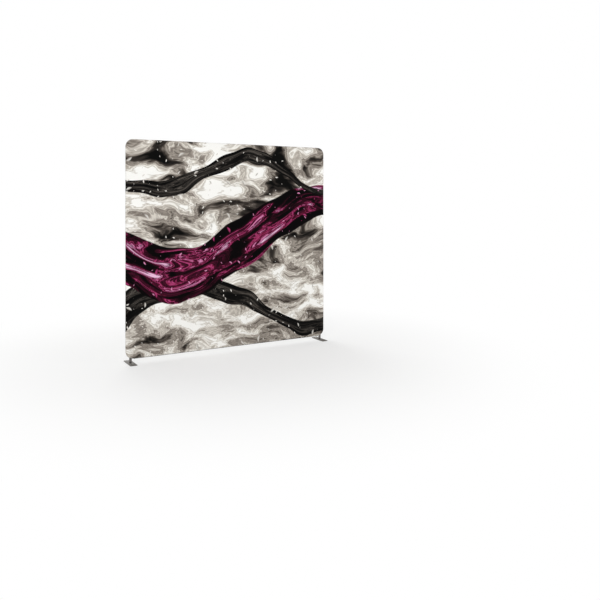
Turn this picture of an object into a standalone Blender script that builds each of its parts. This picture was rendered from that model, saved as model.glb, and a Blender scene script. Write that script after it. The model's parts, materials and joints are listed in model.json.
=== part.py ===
"""A free-standing fabric backwall: a zipped stretch cover over a plug-together tube frame on two flat feet.

Metres, +Z up. The wall stands along X, its printed front faces -Y, and the origin is on the floor under its
middle. Run with blender --background --python part.py, or from Blender's text editor.
"""

import math

import bmesh
import bpy
from mathutils import Matrix, Vector

# The covered wall
WALL_WIDTH = 2.470
WALL_TOP = 2.360
FLOOR_GAP = 0.050  # floor to the underside of the cover

# The cover
FABRIC_THICKNESS = 0.0008
FABRIC_CLEARANCE = 0.0003  # cover to tubes
SEAM_GAP = 0.0003  # between the front and the back panel
SEAM_LAND = 0.0015  # flat strip beside the seam, before the edge rounds over
RIM_SEGMENTS = 4
CORNER_SEGMENTS = 8

# The tubes
TUBE_RADIUS = 0.016
TUBE_WALL = 0.0015
BEND_RADIUS = 0.066  # at the tube's centreline
CORNER_LEG = 0.100  # straight length of a side leg past its bend
TUBE_END_GAP = 0.0006  # between two tube ends at a joint
TUBE_SIDES = 24
BEND_SEGMENTS = 8

# The sleeves and tees that plug into the tubes
SLEEVE_CLEARANCE = 0.0004
SLEEVE_WALL = 0.0018
SLEEVE_REACH = 0.060  # into each tube
TEE_HALF_LENGTH = 0.028
TEE_BRANCH_REACH = 0.040  # from the rail's centreline to the branch's shoulder
TEE_BRANCH_RELIEF = 0.0006  # the branch is this much slimmer than the tube
TEE_BORE_SHARE = 0.2  # share of the body's half length that a bore goes on past the shoulder

# The snap buttons
BUTTON_SETBACK = 0.030  # from the tube's end to the button's axis
BUTTON_RADIUS = 0.0038
BUTTON_PROUD = 0.0030  # above the tube
BUTTON_HOLE_CLEARANCE = 0.0005
FLANGE_MARGIN = 0.0016  # flange beyond the stem
FLANGE_THICKNESS = 0.0008
FLANGE_SEAT_GAP = 0.0004
BUTTON_SIDES = 16
DOME_SEGMENTS = 4

# The V springs under the buttons
SPRING_THICKNESS = 0.0006
SPRING_HALF_WIDTH = 0.0035
SPRING_LENGTH = 0.034
SPRING_BEND_RADIUS = 0.0025
SPRING_GAP = 0.0004
SPRING_BEND_SEGMENTS = 5

# The feet
FOOT_INSET = 0.054  # from the wall's edge to the post's axis
PLATE_LENGTH = 0.250
PLATE_WIDTH = 0.075
PLATE_THICKNESS = 0.006
PLATE_CORNER = 0.006
PLATE_EDGE = 0.0008
PAD_THICKNESS = 0.002
PAD_LENGTH = 0.026
PAD_MARGIN = 0.006  # from the plate's edges
STACK_GAP = 0.0003  # between pieces that bear on each other
POST_RADIUS = 0.014
POST_EDGE = 0.0008
POST_SIDES = 32
BOLT_RADIUS = 0.004
BOLT_CLEARANCE = 0.0004
BOLT_HEAD_MARGIN = 0.0045  # head beyond the shank
BOLT_HEAD_THICKNESS = 0.003
BOLT_ENGAGEMENT = 0.022  # shank inside the socket
BOLT_SIDES = 20
HEX_RADIUS = 0.0028
HEX_DEPTH = 0.0018
HEX_SIDES = 6

# The sockets, welded into the bottom bends
COLLAR_DROP = 0.006  # collar showing under the cover
COLLAR_HEIGHT = 0.018
CORE_RADIUS = 0.0072
CORE_CLEARANCE = 0.0004
COLLAR_HOLE_CLEARANCE = 0.0012  # opening in the cover round the collar

# The zip along the underside
ZIP_END_MARGIN = 0.040  # from the post's axis to the end of the zip
ZIP_SLOT_HALF = 0.0090
ZIP_MIDDLE_HALF = 0.0009  # half the gap between the two rows of teeth
TAPE_THICKNESS = 0.0006
TEETH_WIDTH = 0.0024
TEETH_HEIGHT = 0.0022
TEETH_CLEARANCE = 0.0004
BLADE_THICKNESS = 0.0010
BLADE_TUBE_GAP = 0.0006
BLADE_HALF_WIDTH = 0.0048
SLIDER_LENGTH = 0.011
SLIDER_END_MARGIN = 0.005  # slider to the end of the zip
SLIDER_EDGE = 0.0003
WEB_HALF = 0.0005
LIP_WIDTH = 0.0008
LIP_TAPE_GAP = 0.0004
BRIDGE_HALF_LENGTH = 0.0030
BRIDGE_HALF_WIDTH = 0.0008
BRIDGE_HEIGHT = 0.0036
PULL_AXIS_DROP = 0.0019  # below the slider's lower blade
PULL_HOLE_RADIUS = 0.0012
PULL_BAR_HALF = 0.0007
PULL_SIDE_CLEARANCE = 0.0004
PULL_ARM_WIDTH = 0.0013
PULL_WINDOW_REACH = 0.0042
PULL_LENGTH = 0.026
PULL_END_SEGMENTS = 8
HOLE_SIDES = 16

# How far cutters run past what they cut, and how close points are merged
OVERRUN = 0.002
MERGE_DISTANCE = 0.00001
SHARP_ANGLE = math.radians(40)

# Places that follow from the sizes
COVER_HALF = TUBE_RADIUS + FABRIC_CLEARANCE + FABRIC_THICKNESS
SIDE_X = WALL_WIDTH / 2 - COVER_HALF
TOP_Z = WALL_TOP - COVER_HALF
BOTTOM_Z = FLOOR_GAP + COVER_HALF
MIDDLE_Z = (TOP_Z + BOTTOM_Z) / 2
TOP_JOINT_Z = TOP_Z - BEND_RADIUS - CORNER_LEG
BOTTOM_JOINT_Z = BOTTOM_Z + BEND_RADIUS + CORNER_LEG
TUBE_INNER = TUBE_RADIUS - TUBE_WALL
SLEEVE_OUTER = TUBE_INNER - SLEEVE_CLEARANCE
SLEEVE_INNER = SLEEVE_OUTER - SLEEVE_WALL
BUTTON_HOLE = BUTTON_RADIUS + BUTTON_HOLE_CLEARANCE
FOOT_X = WALL_WIDTH / 2 - FOOT_INSET
PLATE_BOTTOM = PAD_THICKNESS + STACK_GAP
PLATE_TOP = PLATE_BOTTOM + PLATE_THICKNESS
COLLAR_BOTTOM = FLOOR_GAP - COLLAR_DROP
BOLT_HOLE = BOLT_RADIUS + BOLT_CLEARANCE
BOLT_HEAD_RADIUS = BOLT_RADIUS + BOLT_HEAD_MARGIN
ZIP_HALF = FOOT_X - ZIP_END_MARGIN
TUBE_UNDERSIDE = BOTTOM_Z - TUBE_RADIUS
BLADE_TOP = TUBE_UNDERSIDE - BLADE_TUBE_GAP
TEETH_TOP = BLADE_TOP - BLADE_THICKNESS - TEETH_CLEARANCE
TEETH_MIDDLE = TEETH_TOP - TEETH_HEIGHT / 2
TEETH_BOTTOM = TEETH_TOP - TEETH_HEIGHT
SLIDER_BOTTOM = TEETH_BOTTOM - TEETH_CLEARANCE - BLADE_THICKNESS
SLIDER_X = ZIP_HALF - SLIDER_END_MARGIN - SLIDER_LENGTH / 2
PULL_AXIS_Z = SLIDER_BOTTOM - PULL_AXIS_DROP


def material(name, colour, roughness, metallic=0.0):
    """A Principled material with one colour."""
    made = bpy.data.materials.new(name)
    made.use_nodes = True
    shader = made.node_tree.nodes["Principled BSDF"]
    shader.inputs["Base Color"].default_value = (*colour, 1.0)
    shader.inputs["Roughness"].default_value = roughness
    shader.inputs["Metallic"].default_value = metallic
    return made


class Kit:
    """The part's collections and materials, made once."""

    def __init__(self):
        for old in list(bpy.data.objects):
            bpy.data.objects.remove(old)
        self.part = self.collection("Fabric backwall")
        self.cutters = self.collection("Cutters")
        self.aluminium = material("Anodised aluminium", (0.62, 0.63, 0.64), 0.38, 1.0)
        self.nylon = material("Black nylon", (0.03, 0.03, 0.03), 0.5)
        self.sprung_steel = material("Spring steel", (0.55, 0.55, 0.56), 0.3, 1.0)
        self.plated_steel = material("Plated steel", (0.66, 0.66, 0.67), 0.25, 1.0)
        self.painted_steel = material("Grey powder coat", (0.30, 0.29, 0.28), 0.45)
        self.rubber = material("Black rubber", (0.02, 0.02, 0.02), 0.8)
        self.print_cloth = material("Printed polyester", (0.42, 0.38, 0.36), 0.85)
        self.plain_cloth = material("White polyester", (0.80, 0.79, 0.77), 0.85)
        self.zip_tape = material("Black zip tape", (0.03, 0.03, 0.03), 0.7)

    def collection(self, name):
        """A new collection in the scene."""
        made = bpy.data.collections.new(name)
        bpy.context.scene.collection.children.link(made)
        return made

    def add(self, name, data, place=None, finish=None, cutter=False):
        """An object for this data at a place, as a piece or as a hidden cutter."""
        made = bpy.data.objects.new(name, data)
        (self.cutters if cutter else self.part).objects.link(made)
        made.matrix_world = place or Matrix.Identity(4)
        if cutter:
            made.hide_render = True
            made.display_type = "WIRE"
        if finish:
            made.data.materials.append(finish)
        return made


KIT = Kit()


def smooth(obj):
    """Shades an object's mesh smooth, with its hard edges kept."""
    obj.data.shade_smooth()
    obj.data.set_sharp_from_angle(angle=SHARP_ANGLE)


def as_mesh(curve, name, finish=None, cutter=False):
    """A mesh object in place of a curve object, with its caps welded."""
    bpy.context.view_layer.update()
    graph = bpy.context.evaluated_depsgraph_get()
    mesh = bpy.data.meshes.new_from_object(curve.evaluated_get(graph))
    place = curve.matrix_world.copy()
    bpy.data.objects.remove(curve)
    work = bmesh.new()
    work.from_mesh(mesh)
    bmesh.ops.remove_doubles(work, verts=work.verts, dist=MERGE_DISTANCE)
    bmesh.ops.recalc_face_normals(work, faces=work.faces)
    work.to_mesh(mesh)
    work.free()
    mesh.materials.clear()
    return KIT.add(name, mesh, place, finish, cutter)


def swept(name, points, radius, sides, capped):
    """A round curve of even radius through points, as a curve object."""
    data = bpy.data.curves.new(name, "CURVE")
    data.dimensions = "3D"
    data.bevel_depth = radius
    data.bevel_resolution = sides // 2 - 2
    data.use_fill_caps = capped
    line = data.splines.new("POLY")
    line.points.add(len(points) - 1)
    for point, place in zip(line.points, points):
        point.co = (*place, 1)
    return KIT.add(name, data)


def turned(name, profile, place, finish, sides, ring=False):
    """A solid turned about local Z from (radius, height) points. The outer side runs from top to bottom."""
    mesh = bpy.data.meshes.new(name)
    ends = [(i, i + 1) for i in range(len(profile) - 1)]
    if ring:
        ends.append((len(profile) - 1, 0))
    mesh.from_pydata([(radius, 0, height) for radius, height in profile], ends, [])
    obj = KIT.add(name, mesh, place, finish)
    turn = obj.modifiers.new("Turn", "SCREW")
    turn.steps = sides
    turn.render_steps = sides
    turn.use_merge_vertices = True
    turn.merge_threshold = MERGE_DISTANCE
    turn.use_smooth_shade = False
    return obj


def pipe(name, outer, inner, low, high, place, finish):
    """A straight tube along local Z."""
    profile = [(outer, high), (outer, low), (inner, low), (inner, high)]
    return turned(name, profile, place, finish, TUBE_SIDES, ring=True)


def rod_cutter(name, radius, low, high, place, sides):
    """A hidden cylinder along local Z, from low to high."""
    work = bmesh.new()
    bmesh.ops.create_cone(
        work, cap_ends=True, segments=sides, radius1=radius, radius2=radius, depth=high - low,
        matrix=Matrix.Translation((0, 0, (low + high) / 2)),
    )
    mesh = bpy.data.meshes.new(name)
    work.to_mesh(mesh)
    work.free()
    return KIT.add(name, mesh, place, cutter=True)


def block(name, low, high, place=None, finish=None, cutter=False):
    """A box between two corners."""
    low, high = Vector(low), Vector(high)
    work = bmesh.new()
    bmesh.ops.create_cube(work, size=1)
    bmesh.ops.scale(work, vec=high - low, verts=work.verts)
    bmesh.ops.translate(work, vec=(low + high) / 2, verts=work.verts)
    mesh = bpy.data.meshes.new(name)
    work.to_mesh(mesh)
    work.free()
    return KIT.add(name, mesh, place, finish, cutter)


def flat_piece(name, outlines, half_thickness, place, finish, edge=0.0, cutter=False):
    """A flat outline in local XY, with any windows, given thickness along local Z."""
    data = bpy.data.curves.new(name, "CURVE")
    data.dimensions = "2D"
    data.fill_mode = "BOTH"
    data.extrude = half_thickness
    for outline in outlines:
        line = data.splines.new("POLY")
        line.points.add(len(outline) - 1)
        for point, place_2d in zip(line.points, outline):
            point.co = (*place_2d, 0, 1)
        line.use_cyclic_u = True
    obj = as_mesh(KIT.add(name, data, place), name, finish, cutter)
    if edge:
        soften(obj, edge)
    return obj


def soften(obj, width, segments=1):
    """Bevels an object's hard edges."""
    bevel = obj.modifiers.new("Edges", "BEVEL")
    bevel.width = width
    bevel.segments = segments
    bevel.limit_method = "ANGLE"
    bevel.angle_limit = SHARP_ANGLE
    return bevel


def boolean(obj, other, operation):
    """A Boolean modifier that cuts or joins another object."""
    change = obj.modifiers.new(operation.title(), "BOOLEAN")
    change.operation = operation
    change.object = other
    change.solver = "EXACT"


def cut(obj, cutter):
    """Cuts a hidden cutter out of an object."""
    boolean(obj, cutter, "DIFFERENCE")


def join(obj, other):
    """Unites an object with another, which then stays hidden as its helper."""
    boolean(obj, other, "UNION")
    KIT.part.objects.unlink(other)
    KIT.cutters.objects.link(other)
    other.hide_render = True
    other.display_type = "WIRE"


def frame_at(origin, along, outward):
    """A place whose local Z runs along a tube and whose local X points the way its button comes out."""
    z_axis = Vector(along)
    x_axis = Vector(outward)
    y_axis = z_axis.cross(x_axis)
    place = Matrix((x_axis, y_axis, z_axis)).transposed().to_4x4()
    place.translation = origin
    return place


def corner_path(side, end_z):
    """The centreline of a rail tube: from its tee, along the rail, round the bend and along its short leg."""
    up = 1 if end_z == TOP_Z else -1
    centre_x = SIDE_X - BEND_RADIUS
    centre_z = end_z - up * BEND_RADIUS
    points = [(side * (TEE_HALF_LENGTH + TUBE_END_GAP), 0, end_z)]
    for step in range(BEND_SEGMENTS + 1):
        angle = math.pi / 2 * step / BEND_SEGMENTS
        x = centre_x + BEND_RADIUS * math.sin(angle)
        points.append((side * x, 0, centre_z + up * BEND_RADIUS * math.cos(angle)))
    points.append((side * SIDE_X, 0, centre_z - up * CORNER_LEG))
    return points


def rail_tube(name, side, end_z):
    """A rail tube with its bent corner, open at both ends."""
    skin = swept(name, corner_path(side, end_z), TUBE_RADIUS, TUBE_SIDES, capped=False)
    tube = as_mesh(skin, name, KIT.aluminium)
    wall = tube.modifiers.new("Wall", "SOLIDIFY")
    wall.thickness = TUBE_WALL
    wall.offset = -1
    wall.use_even_offset = True
    smooth(tube)
    return tube


def straight_tube(name, x, low, high):
    """An upright tube between two joints."""
    place = Matrix.Translation((x, 0, low))
    return pipe(name, TUBE_RADIUS, TUBE_INNER, 0, high - low, place, KIT.aluminium)


def tee(name, rail_z, branch_up):
    """A moulded tee: two spigots for the rail tubes and one for the centre post, each hollow, with a solid middle."""
    spigot_end = TEE_HALF_LENGTH + SLEEVE_REACH
    rail_profile = [
        (0, spigot_end), (SLEEVE_OUTER, spigot_end), (SLEEVE_OUTER, TEE_HALF_LENGTH),
        (TUBE_RADIUS, TEE_HALF_LENGTH), (TUBE_RADIUS, -TEE_HALF_LENGTH), (SLEEVE_OUTER, -TEE_HALF_LENGTH),
        (SLEEVE_OUTER, -spigot_end), (0, -spigot_end),
    ]
    branch_radius = TUBE_RADIUS - TEE_BRANCH_RELIEF
    branch_end = TEE_BRANCH_REACH + SLEEVE_REACH
    branch_profile = [
        (0, branch_end), (SLEEVE_OUTER, branch_end), (SLEEVE_OUTER, TEE_BRANCH_REACH),
        (branch_radius, TEE_BRANCH_REACH), (branch_radius, 0), (0, 0),
    ]
    up = 1 if branch_up else -1
    centre = Vector((0, 0, rail_z))
    rail_place = frame_at(centre, (1, 0, 0), (0, 0, 1))
    branch_place = frame_at(centre, (0, 0, up), (1, 0, 0))
    body = turned(name, rail_profile, rail_place, KIT.nylon, TUBE_SIDES)
    branch = turned(name + "_branch", branch_profile, branch_place, KIT.nylon, TUBE_SIDES)
    join(body, branch)
    bore_start = TEE_HALF_LENGTH * (1 - TEE_BORE_SHARE)
    for side, label in ((1, "right"), (-1, "left")):
        place = frame_at(centre, (side, 0, 0), (0, 0, 1))
        cut(body, rod_cutter(f"{name}_{label}_bore", SLEEVE_INNER, bore_start, spigot_end + OVERRUN, place, TUBE_SIDES))
    branch_bore = TEE_BRANCH_REACH - TEE_HALF_LENGTH * TEE_BORE_SHARE
    cut(body, rod_cutter(name + "_branch_bore", SLEEVE_INNER, branch_bore, branch_end + OVERRUN, branch_place, TUBE_SIDES))
    return body


def button(name, place):
    """A snap button: a flange under the sleeve's wall, a stem through both walls and a domed top."""
    flange_radius = BUTTON_RADIUS + FLANGE_MARGIN
    wall_flat = SLEEVE_INNER * math.cos(math.pi / TUBE_SIDES)
    flange_top = math.sqrt(wall_flat**2 - flange_radius**2) - FLANGE_SEAT_GAP
    top = TUBE_RADIUS + BUTTON_PROUD
    profile = []
    for step in range(DOME_SEGMENTS + 1):
        angle = math.pi / 2 * step / DOME_SEGMENTS
        height = top - BUTTON_PROUD * (1 - math.cos(angle))
        profile.append((BUTTON_RADIUS * math.sin(angle), height))
    profile += [
        (BUTTON_RADIUS, flange_top), (flange_radius, flange_top),
        (flange_radius, flange_top - FLANGE_THICKNESS), (0, flange_top - FLANGE_THICKNESS),
    ]
    made = turned(name, profile, place, KIT.plated_steel, BUTTON_SIDES)
    return made, flange_top - FLANGE_THICKNESS


def spring(name, place, flange_bottom):
    """A bent strip: a flat pad under the button, a leg down to the bend, and a leg back along the far wall."""
    half = SPRING_THICKNESS / 2
    pad_half = BUTTON_RADIUS + FLANGE_MARGIN
    pad_x = flange_bottom - SPRING_GAP - half
    wall_flat = SLEEVE_INNER * math.cos(math.pi / TUBE_SIDES)
    foot_x = half + SPRING_GAP - math.sqrt(wall_flat**2 - SPRING_HALF_WIDTH**2)
    bend_z = BUTTON_SETBACK + pad_half - SPRING_LENGTH + SPRING_BEND_RADIUS
    path = [(pad_x, BUTTON_SETBACK + pad_half), (pad_x, BUTTON_SETBACK - pad_half)]
    for step in range(SPRING_BEND_SEGMENTS + 1):
        angle = math.pi / 2 + math.pi * step / SPRING_BEND_SEGMENTS
        path.append((SPRING_BEND_RADIUS * math.sin(angle), bend_z + SPRING_BEND_RADIUS * math.cos(angle)))
    path += [(foot_x, BUTTON_SETBACK), (foot_x, BUTTON_SETBACK + pad_half)]
    work = bmesh.new()
    rows = [[work.verts.new((x, y, z)) for x, z in path] for y in (-SPRING_HALF_WIDTH, SPRING_HALF_WIDTH)]
    for i in range(len(path) - 1):
        work.faces.new((rows[0][i], rows[0][i + 1], rows[1][i + 1], rows[1][i]))
    mesh = bpy.data.meshes.new(name)
    work.to_mesh(mesh)
    work.free()
    strip = KIT.add(name, mesh, place, KIT.sprung_steel)
    wall = strip.modifiers.new("Strip", "SOLIDIFY")
    wall.thickness = SPRING_THICKNESS
    wall.offset = 0
    wall.use_even_offset = True
    return strip


def snap_joint(name, place, tube, sleeve):
    """The button and spring of one plug-in joint, and their hole through the loose tube and the sleeve in it."""
    axis = place @ Matrix.Translation((0, 0, BUTTON_SETBACK)) @ Matrix.Rotation(math.pi / 2, 4, "Y")
    _, flange_bottom = button(name + "_button", axis)
    spring(name + "_spring", place, flange_bottom)
    hole = rod_cutter(name + "_hole", BUTTON_HOLE, 0, TUBE_RADIUS + OVERRUN, axis, BUTTON_SIDES)
    cut(tube, hole)
    cut(sleeve, hole)


def sleeve(name, place):
    """A sleeve that lies half in one tube and half in the next."""
    return pipe(name, SLEEVE_OUTER, SLEEVE_INNER, -SLEEVE_REACH, SLEEVE_REACH, place, KIT.aluminium)


def side_frame(label, side, top_rail, bottom_rail):
    """The two upright tubes at one side, with the sleeves and snap joints that hold them to the rails."""
    half_gap = TUBE_END_GAP / 2
    x = side * SIDE_X
    upper = straight_tube(label + "_upper_tube", x, MIDDLE_Z + half_gap, TOP_JOINT_Z - TUBE_END_GAP)
    lower = straight_tube(label + "_lower_tube", x, BOTTOM_JOINT_Z + TUBE_END_GAP, MIDDLE_Z - half_gap)
    joints = (
        ("top", TOP_JOINT_Z - TUBE_END_GAP, -1, upper),
        ("middle", MIDDLE_Z - half_gap, -1, lower),
        ("bottom", BOTTOM_JOINT_Z + TUBE_END_GAP, 1, lower),
    )
    for level, z, direction, tube in joints:
        place = frame_at((x, 0, z), (0, 0, direction), (-side, 0, 0))
        snap_joint(f"{label}_{level}", place, tube, sleeve(f"{label}_{level}_sleeve", place))


def centre_frame(top_tee, bottom_tee):
    """The centre post in two tubes, from tee to tee."""
    half_gap = TUBE_END_GAP / 2
    top_z = TOP_Z - TEE_BRANCH_REACH - TUBE_END_GAP
    bottom_z = BOTTOM_Z + TEE_BRANCH_REACH + TUBE_END_GAP
    upper = straight_tube("centre_upper_tube", 0, MIDDLE_Z + half_gap, top_z)
    lower = straight_tube("centre_lower_tube", 0, bottom_z, MIDDLE_Z - half_gap)
    outward = (1, 0, 0)
    middle = frame_at((0, 0, MIDDLE_Z - half_gap), (0, 0, -1), outward)
    snap_joint("centre_middle", middle, lower, sleeve("centre_middle_sleeve", middle))
    snap_joint("centre_top", frame_at((0, 0, top_z), (0, 0, -1), outward), upper, top_tee)
    snap_joint("centre_bottom", frame_at((0, 0, bottom_z), (0, 0, 1), outward), lower, bottom_tee)


def build_frame():
    """All tubes, tees, sleeves and snap joints. Returns the two bottom rail tubes, which take the foot sockets."""
    top_tee = tee("top_tee", TOP_Z, branch_up=False)
    bottom_tee = tee("bottom_tee", BOTTOM_Z, branch_up=True)
    rails = {}
    for label, side in (("left", -1), ("right", 1)):
        top_rail = rail_tube(f"top_{label}_tube", side, TOP_Z)
        bottom_rail = rail_tube(f"bottom_{label}_tube", side, BOTTOM_Z)
        side_frame(label, side, top_rail, bottom_rail)
        rails[side] = bottom_rail
        if side < 0:
            start = -TEE_HALF_LENGTH - TUBE_END_GAP
            top_place = frame_at((start, 0, TOP_Z), (-1, 0, 0), (0, 0, -1))
            bottom_place = frame_at((start, 0, BOTTOM_Z), (-1, 0, 0), (0, 0, 1))
            snap_joint("top_rail", top_place, top_rail, top_tee)
            snap_joint("bottom_rail", bottom_place, bottom_rail, bottom_tee)
    centre_frame(top_tee, bottom_tee)
    return rails


def bend_height():
    """Height of the bottom rail's centreline above the foot's axis, which lies under the bend or the straight."""
    into_bend = max(0.0, FOOT_X - (SIDE_X - BEND_RADIUS))
    return BOTTOM_Z + BEND_RADIUS - math.sqrt(BEND_RADIUS**2 - into_bend**2)


def socket(label, side, rail):
    """A threaded bush through the bend's lower wall, with a collar below that is coped to the tube."""
    name = label + "_foot_socket"
    place = Matrix.Translation((side * FOOT_X, 0, 0))
    core_top = bend_height()
    collar_top = COLLAR_BOTTOM + COLLAR_HEIGHT
    profile = [(POST_RADIUS, collar_top), (POST_RADIUS, COLLAR_BOTTOM), (BOLT_HOLE, COLLAR_BOTTOM), (BOLT_HOLE, collar_top)]
    made = turned(name, profile, place, KIT.aluminium, POST_SIDES, ring=True)
    path = corner_path(side, BOTTOM_Z)
    radius = TUBE_RADIUS + STACK_GAP
    envelope = as_mesh(swept(name, path, radius, TUBE_SIDES, capped=True), name + "_cope", cutter=True)
    cut(made, envelope)
    core_profile = [
        (CORE_RADIUS, core_top), (CORE_RADIUS, COLLAR_BOTTOM), (BOLT_HOLE, COLLAR_BOTTOM), (BOLT_HOLE, core_top),
    ]
    core = turned(name + "_core", core_profile, place, KIT.aluminium, POST_SIDES, ring=True)
    join(made, core)
    hole_radius = CORE_RADIUS + CORE_CLEARANCE
    cut(rail, rod_cutter(name + "_rail_hole", hole_radius, COLLAR_BOTTOM, core_top, place, POST_SIDES))


def foot(label, side):
    """A foot that swivels about its bolt: plate, post, bolt and two rubber pads."""
    pivot = bpy.data.objects.new(label + "_foot_pivot", None)
    KIT.part.objects.link(pivot)
    pivot.location = (side * FOOT_X, 0, 0)
    half_width, half_length = PLATE_WIDTH / 2, PLATE_LENGTH / 2
    plate = block(label + "_foot_plate", (-half_width, -half_length, PLATE_BOTTOM), (half_width, half_length, PLATE_TOP),
                  finish=KIT.painted_steel)
    work = bmesh.new()
    work.from_mesh(plate.data)
    upright = [edge for edge in work.edges if abs(edge.verts[0].co.z - edge.verts[1].co.z) > PLATE_THICKNESS / 2]
    bmesh.ops.bevel(work, geom=upright, offset=PLATE_CORNER, segments=RIM_SEGMENTS, affect="EDGES", profile=0.5)
    work.to_mesh(plate.data)
    work.free()
    soften(plate, PLATE_EDGE, 2)
    centre = Matrix.Identity(4)
    head_top = PLATE_BOTTOM + STACK_GAP + BOLT_HEAD_THICKNESS
    recess_radius = BOLT_HEAD_RADIUS + BOLT_CLEARANCE
    cutters = [
        rod_cutter(label + "_plate_hole", BOLT_HOLE, PLATE_BOTTOM - OVERRUN, PLATE_TOP + OVERRUN, centre, BOLT_SIDES),
        rod_cutter(label + "_plate_recess", recess_radius, PLATE_BOTTOM - OVERRUN, head_top + STACK_GAP, centre, BOLT_SIDES),
    ]
    for cutter in cutters:
        cut(plate, cutter)
    post_low, post_high = PLATE_TOP + STACK_GAP, COLLAR_BOTTOM - STACK_GAP
    inset = POST_RADIUS - POST_EDGE
    profile = [
        (inset, post_high), (POST_RADIUS, post_high - POST_EDGE), (POST_RADIUS, post_low + POST_EDGE),
        (inset, post_low), (BOLT_HOLE, post_low), (BOLT_HOLE, post_high),
    ]
    post = turned(label + "_foot_post", profile, centre, KIT.aluminium, POST_SIDES, ring=True)
    shank_top = COLLAR_BOTTOM + BOLT_ENGAGEMENT
    head_bottom = PLATE_BOTTOM + STACK_GAP
    bolt_profile = [
        (0, shank_top), (BOLT_RADIUS - POST_EDGE, shank_top), (BOLT_RADIUS, shank_top - POST_EDGE),
        (BOLT_RADIUS, head_top), (BOLT_HEAD_RADIUS, head_top), (BOLT_HEAD_RADIUS, head_bottom), (0, head_bottom),
    ]
    bolt = turned(label + "_foot_bolt", bolt_profile, centre, KIT.plated_steel, BOLT_SIDES)
    hex_cutter = rod_cutter(label + "_bolt_hex", HEX_RADIUS, head_bottom - OVERRUN, head_bottom + HEX_DEPTH, centre, HEX_SIDES)
    cut(bolt, hex_cutter)
    pads = []
    pad_half = half_width - PAD_MARGIN
    for end, direction in (("front", -1), ("back", 1)):
        outer = direction * (half_length - PAD_MARGIN)
        inner = outer - direction * PAD_LENGTH
        low = (-pad_half, min(outer, inner), 0)
        high = (pad_half, max(outer, inner), PAD_THICKNESS)
        pads.append(block(f"{label}_{end}_pad", low, high, finish=KIT.rubber))
    for piece in (plate, post, bolt, hex_cutter, *cutters, *pads):
        piece.parent = pivot


def panel(name, direction, finish):
    """Half of the cover: a flat sheet whose edge rounds over the tubes and ends at the seam along the middle."""
    outer_radius = BEND_RADIUS + COVER_HALF
    centre_x = WALL_WIDTH / 2 - outer_radius
    centre_zs = (FLOOR_GAP + outer_radius, WALL_TOP - outer_radius)
    outline = []
    for x, z, start in (
        (centre_x, centre_zs[0], -math.pi / 2), (centre_x, centre_zs[1], 0.0),
        (-centre_x, centre_zs[1], math.pi / 2), (-centre_x, centre_zs[0], math.pi),
    ):
        for step in range(CORNER_SEGMENTS + 1):
            angle = start + math.pi / 2 * step / CORNER_SEGMENTS
            outline.append((x + outer_radius * math.cos(angle), z + outer_radius * math.sin(angle)))
    work = bmesh.new()
    face = work.faces.new([work.verts.new((x, direction * COVER_HALF, z)) for x, z in outline])
    skirt = bmesh.ops.extrude_edge_only(work, edges=face.edges)
    moved = [item for item in skirt["geom"] if isinstance(item, bmesh.types.BMVert)]
    depth = COVER_HALF - SEAM_GAP / 2
    bmesh.ops.translate(work, vec=(0, -direction * depth, 0), verts=moved)
    bmesh.ops.recalc_face_normals(work, faces=work.faces)
    if face.normal.y * direction < 0:
        bmesh.ops.reverse_faces(work, faces=work.faces)
    mesh = bpy.data.meshes.new(name)
    work.to_mesh(mesh)
    work.free()
    sheet = KIT.add(name, mesh, None, finish)
    rounding = soften(sheet, depth - SEAM_LAND, RIM_SEGMENTS)
    rounding.use_clamp_overlap = False
    wall = sheet.modifiers.new("Cloth", "SOLIDIFY")
    wall.thickness = FABRIC_THICKNESS
    wall.offset = -1
    wall.use_even_offset = True
    return sheet


def zip_half(name, direction):
    """One side of the zip: a row of teeth, and a tape that rises from it to the edge of the panel."""
    teeth_in, teeth_out = ZIP_MIDDLE_HALF, ZIP_MIDDLE_HALF + TEETH_WIDTH
    half_tape = TAPE_THICKNESS / 2
    flat_end = BLADE_HALF_WIDTH + TEETH_CLEARANCE
    tape_end = ZIP_SLOT_HALF - STACK_GAP
    fold = COVER_HALF - SEAM_GAP / 2 - SEAM_LAND - FABRIC_THICKNESS / 2
    drop = COVER_HALF - fold - FABRIC_THICKNESS / 2 + math.sqrt(fold**2 - (tape_end - SEAM_LAND) ** 2)
    edge_z = BOTTOM_Z - drop
    outline = [
        (teeth_in, TEETH_BOTTOM), (teeth_out, TEETH_BOTTOM), (teeth_out, TEETH_MIDDLE - half_tape),
        (flat_end, TEETH_MIDDLE - half_tape), (tape_end, edge_z - half_tape), (tape_end, edge_z + half_tape),
        (flat_end - half_tape, TEETH_MIDDLE + half_tape), (teeth_out, TEETH_MIDDLE + half_tape),
        (teeth_out, TEETH_TOP), (teeth_in, TEETH_TOP),
    ]
    along_x = frame_at((0, 0, 0), (1, 0, 0), (0, 1, 0))
    shape = [(direction * y, z) for y, z in outline]
    return flat_piece(name, [shape], ZIP_HALF, along_x, KIT.zip_tape)


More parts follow.
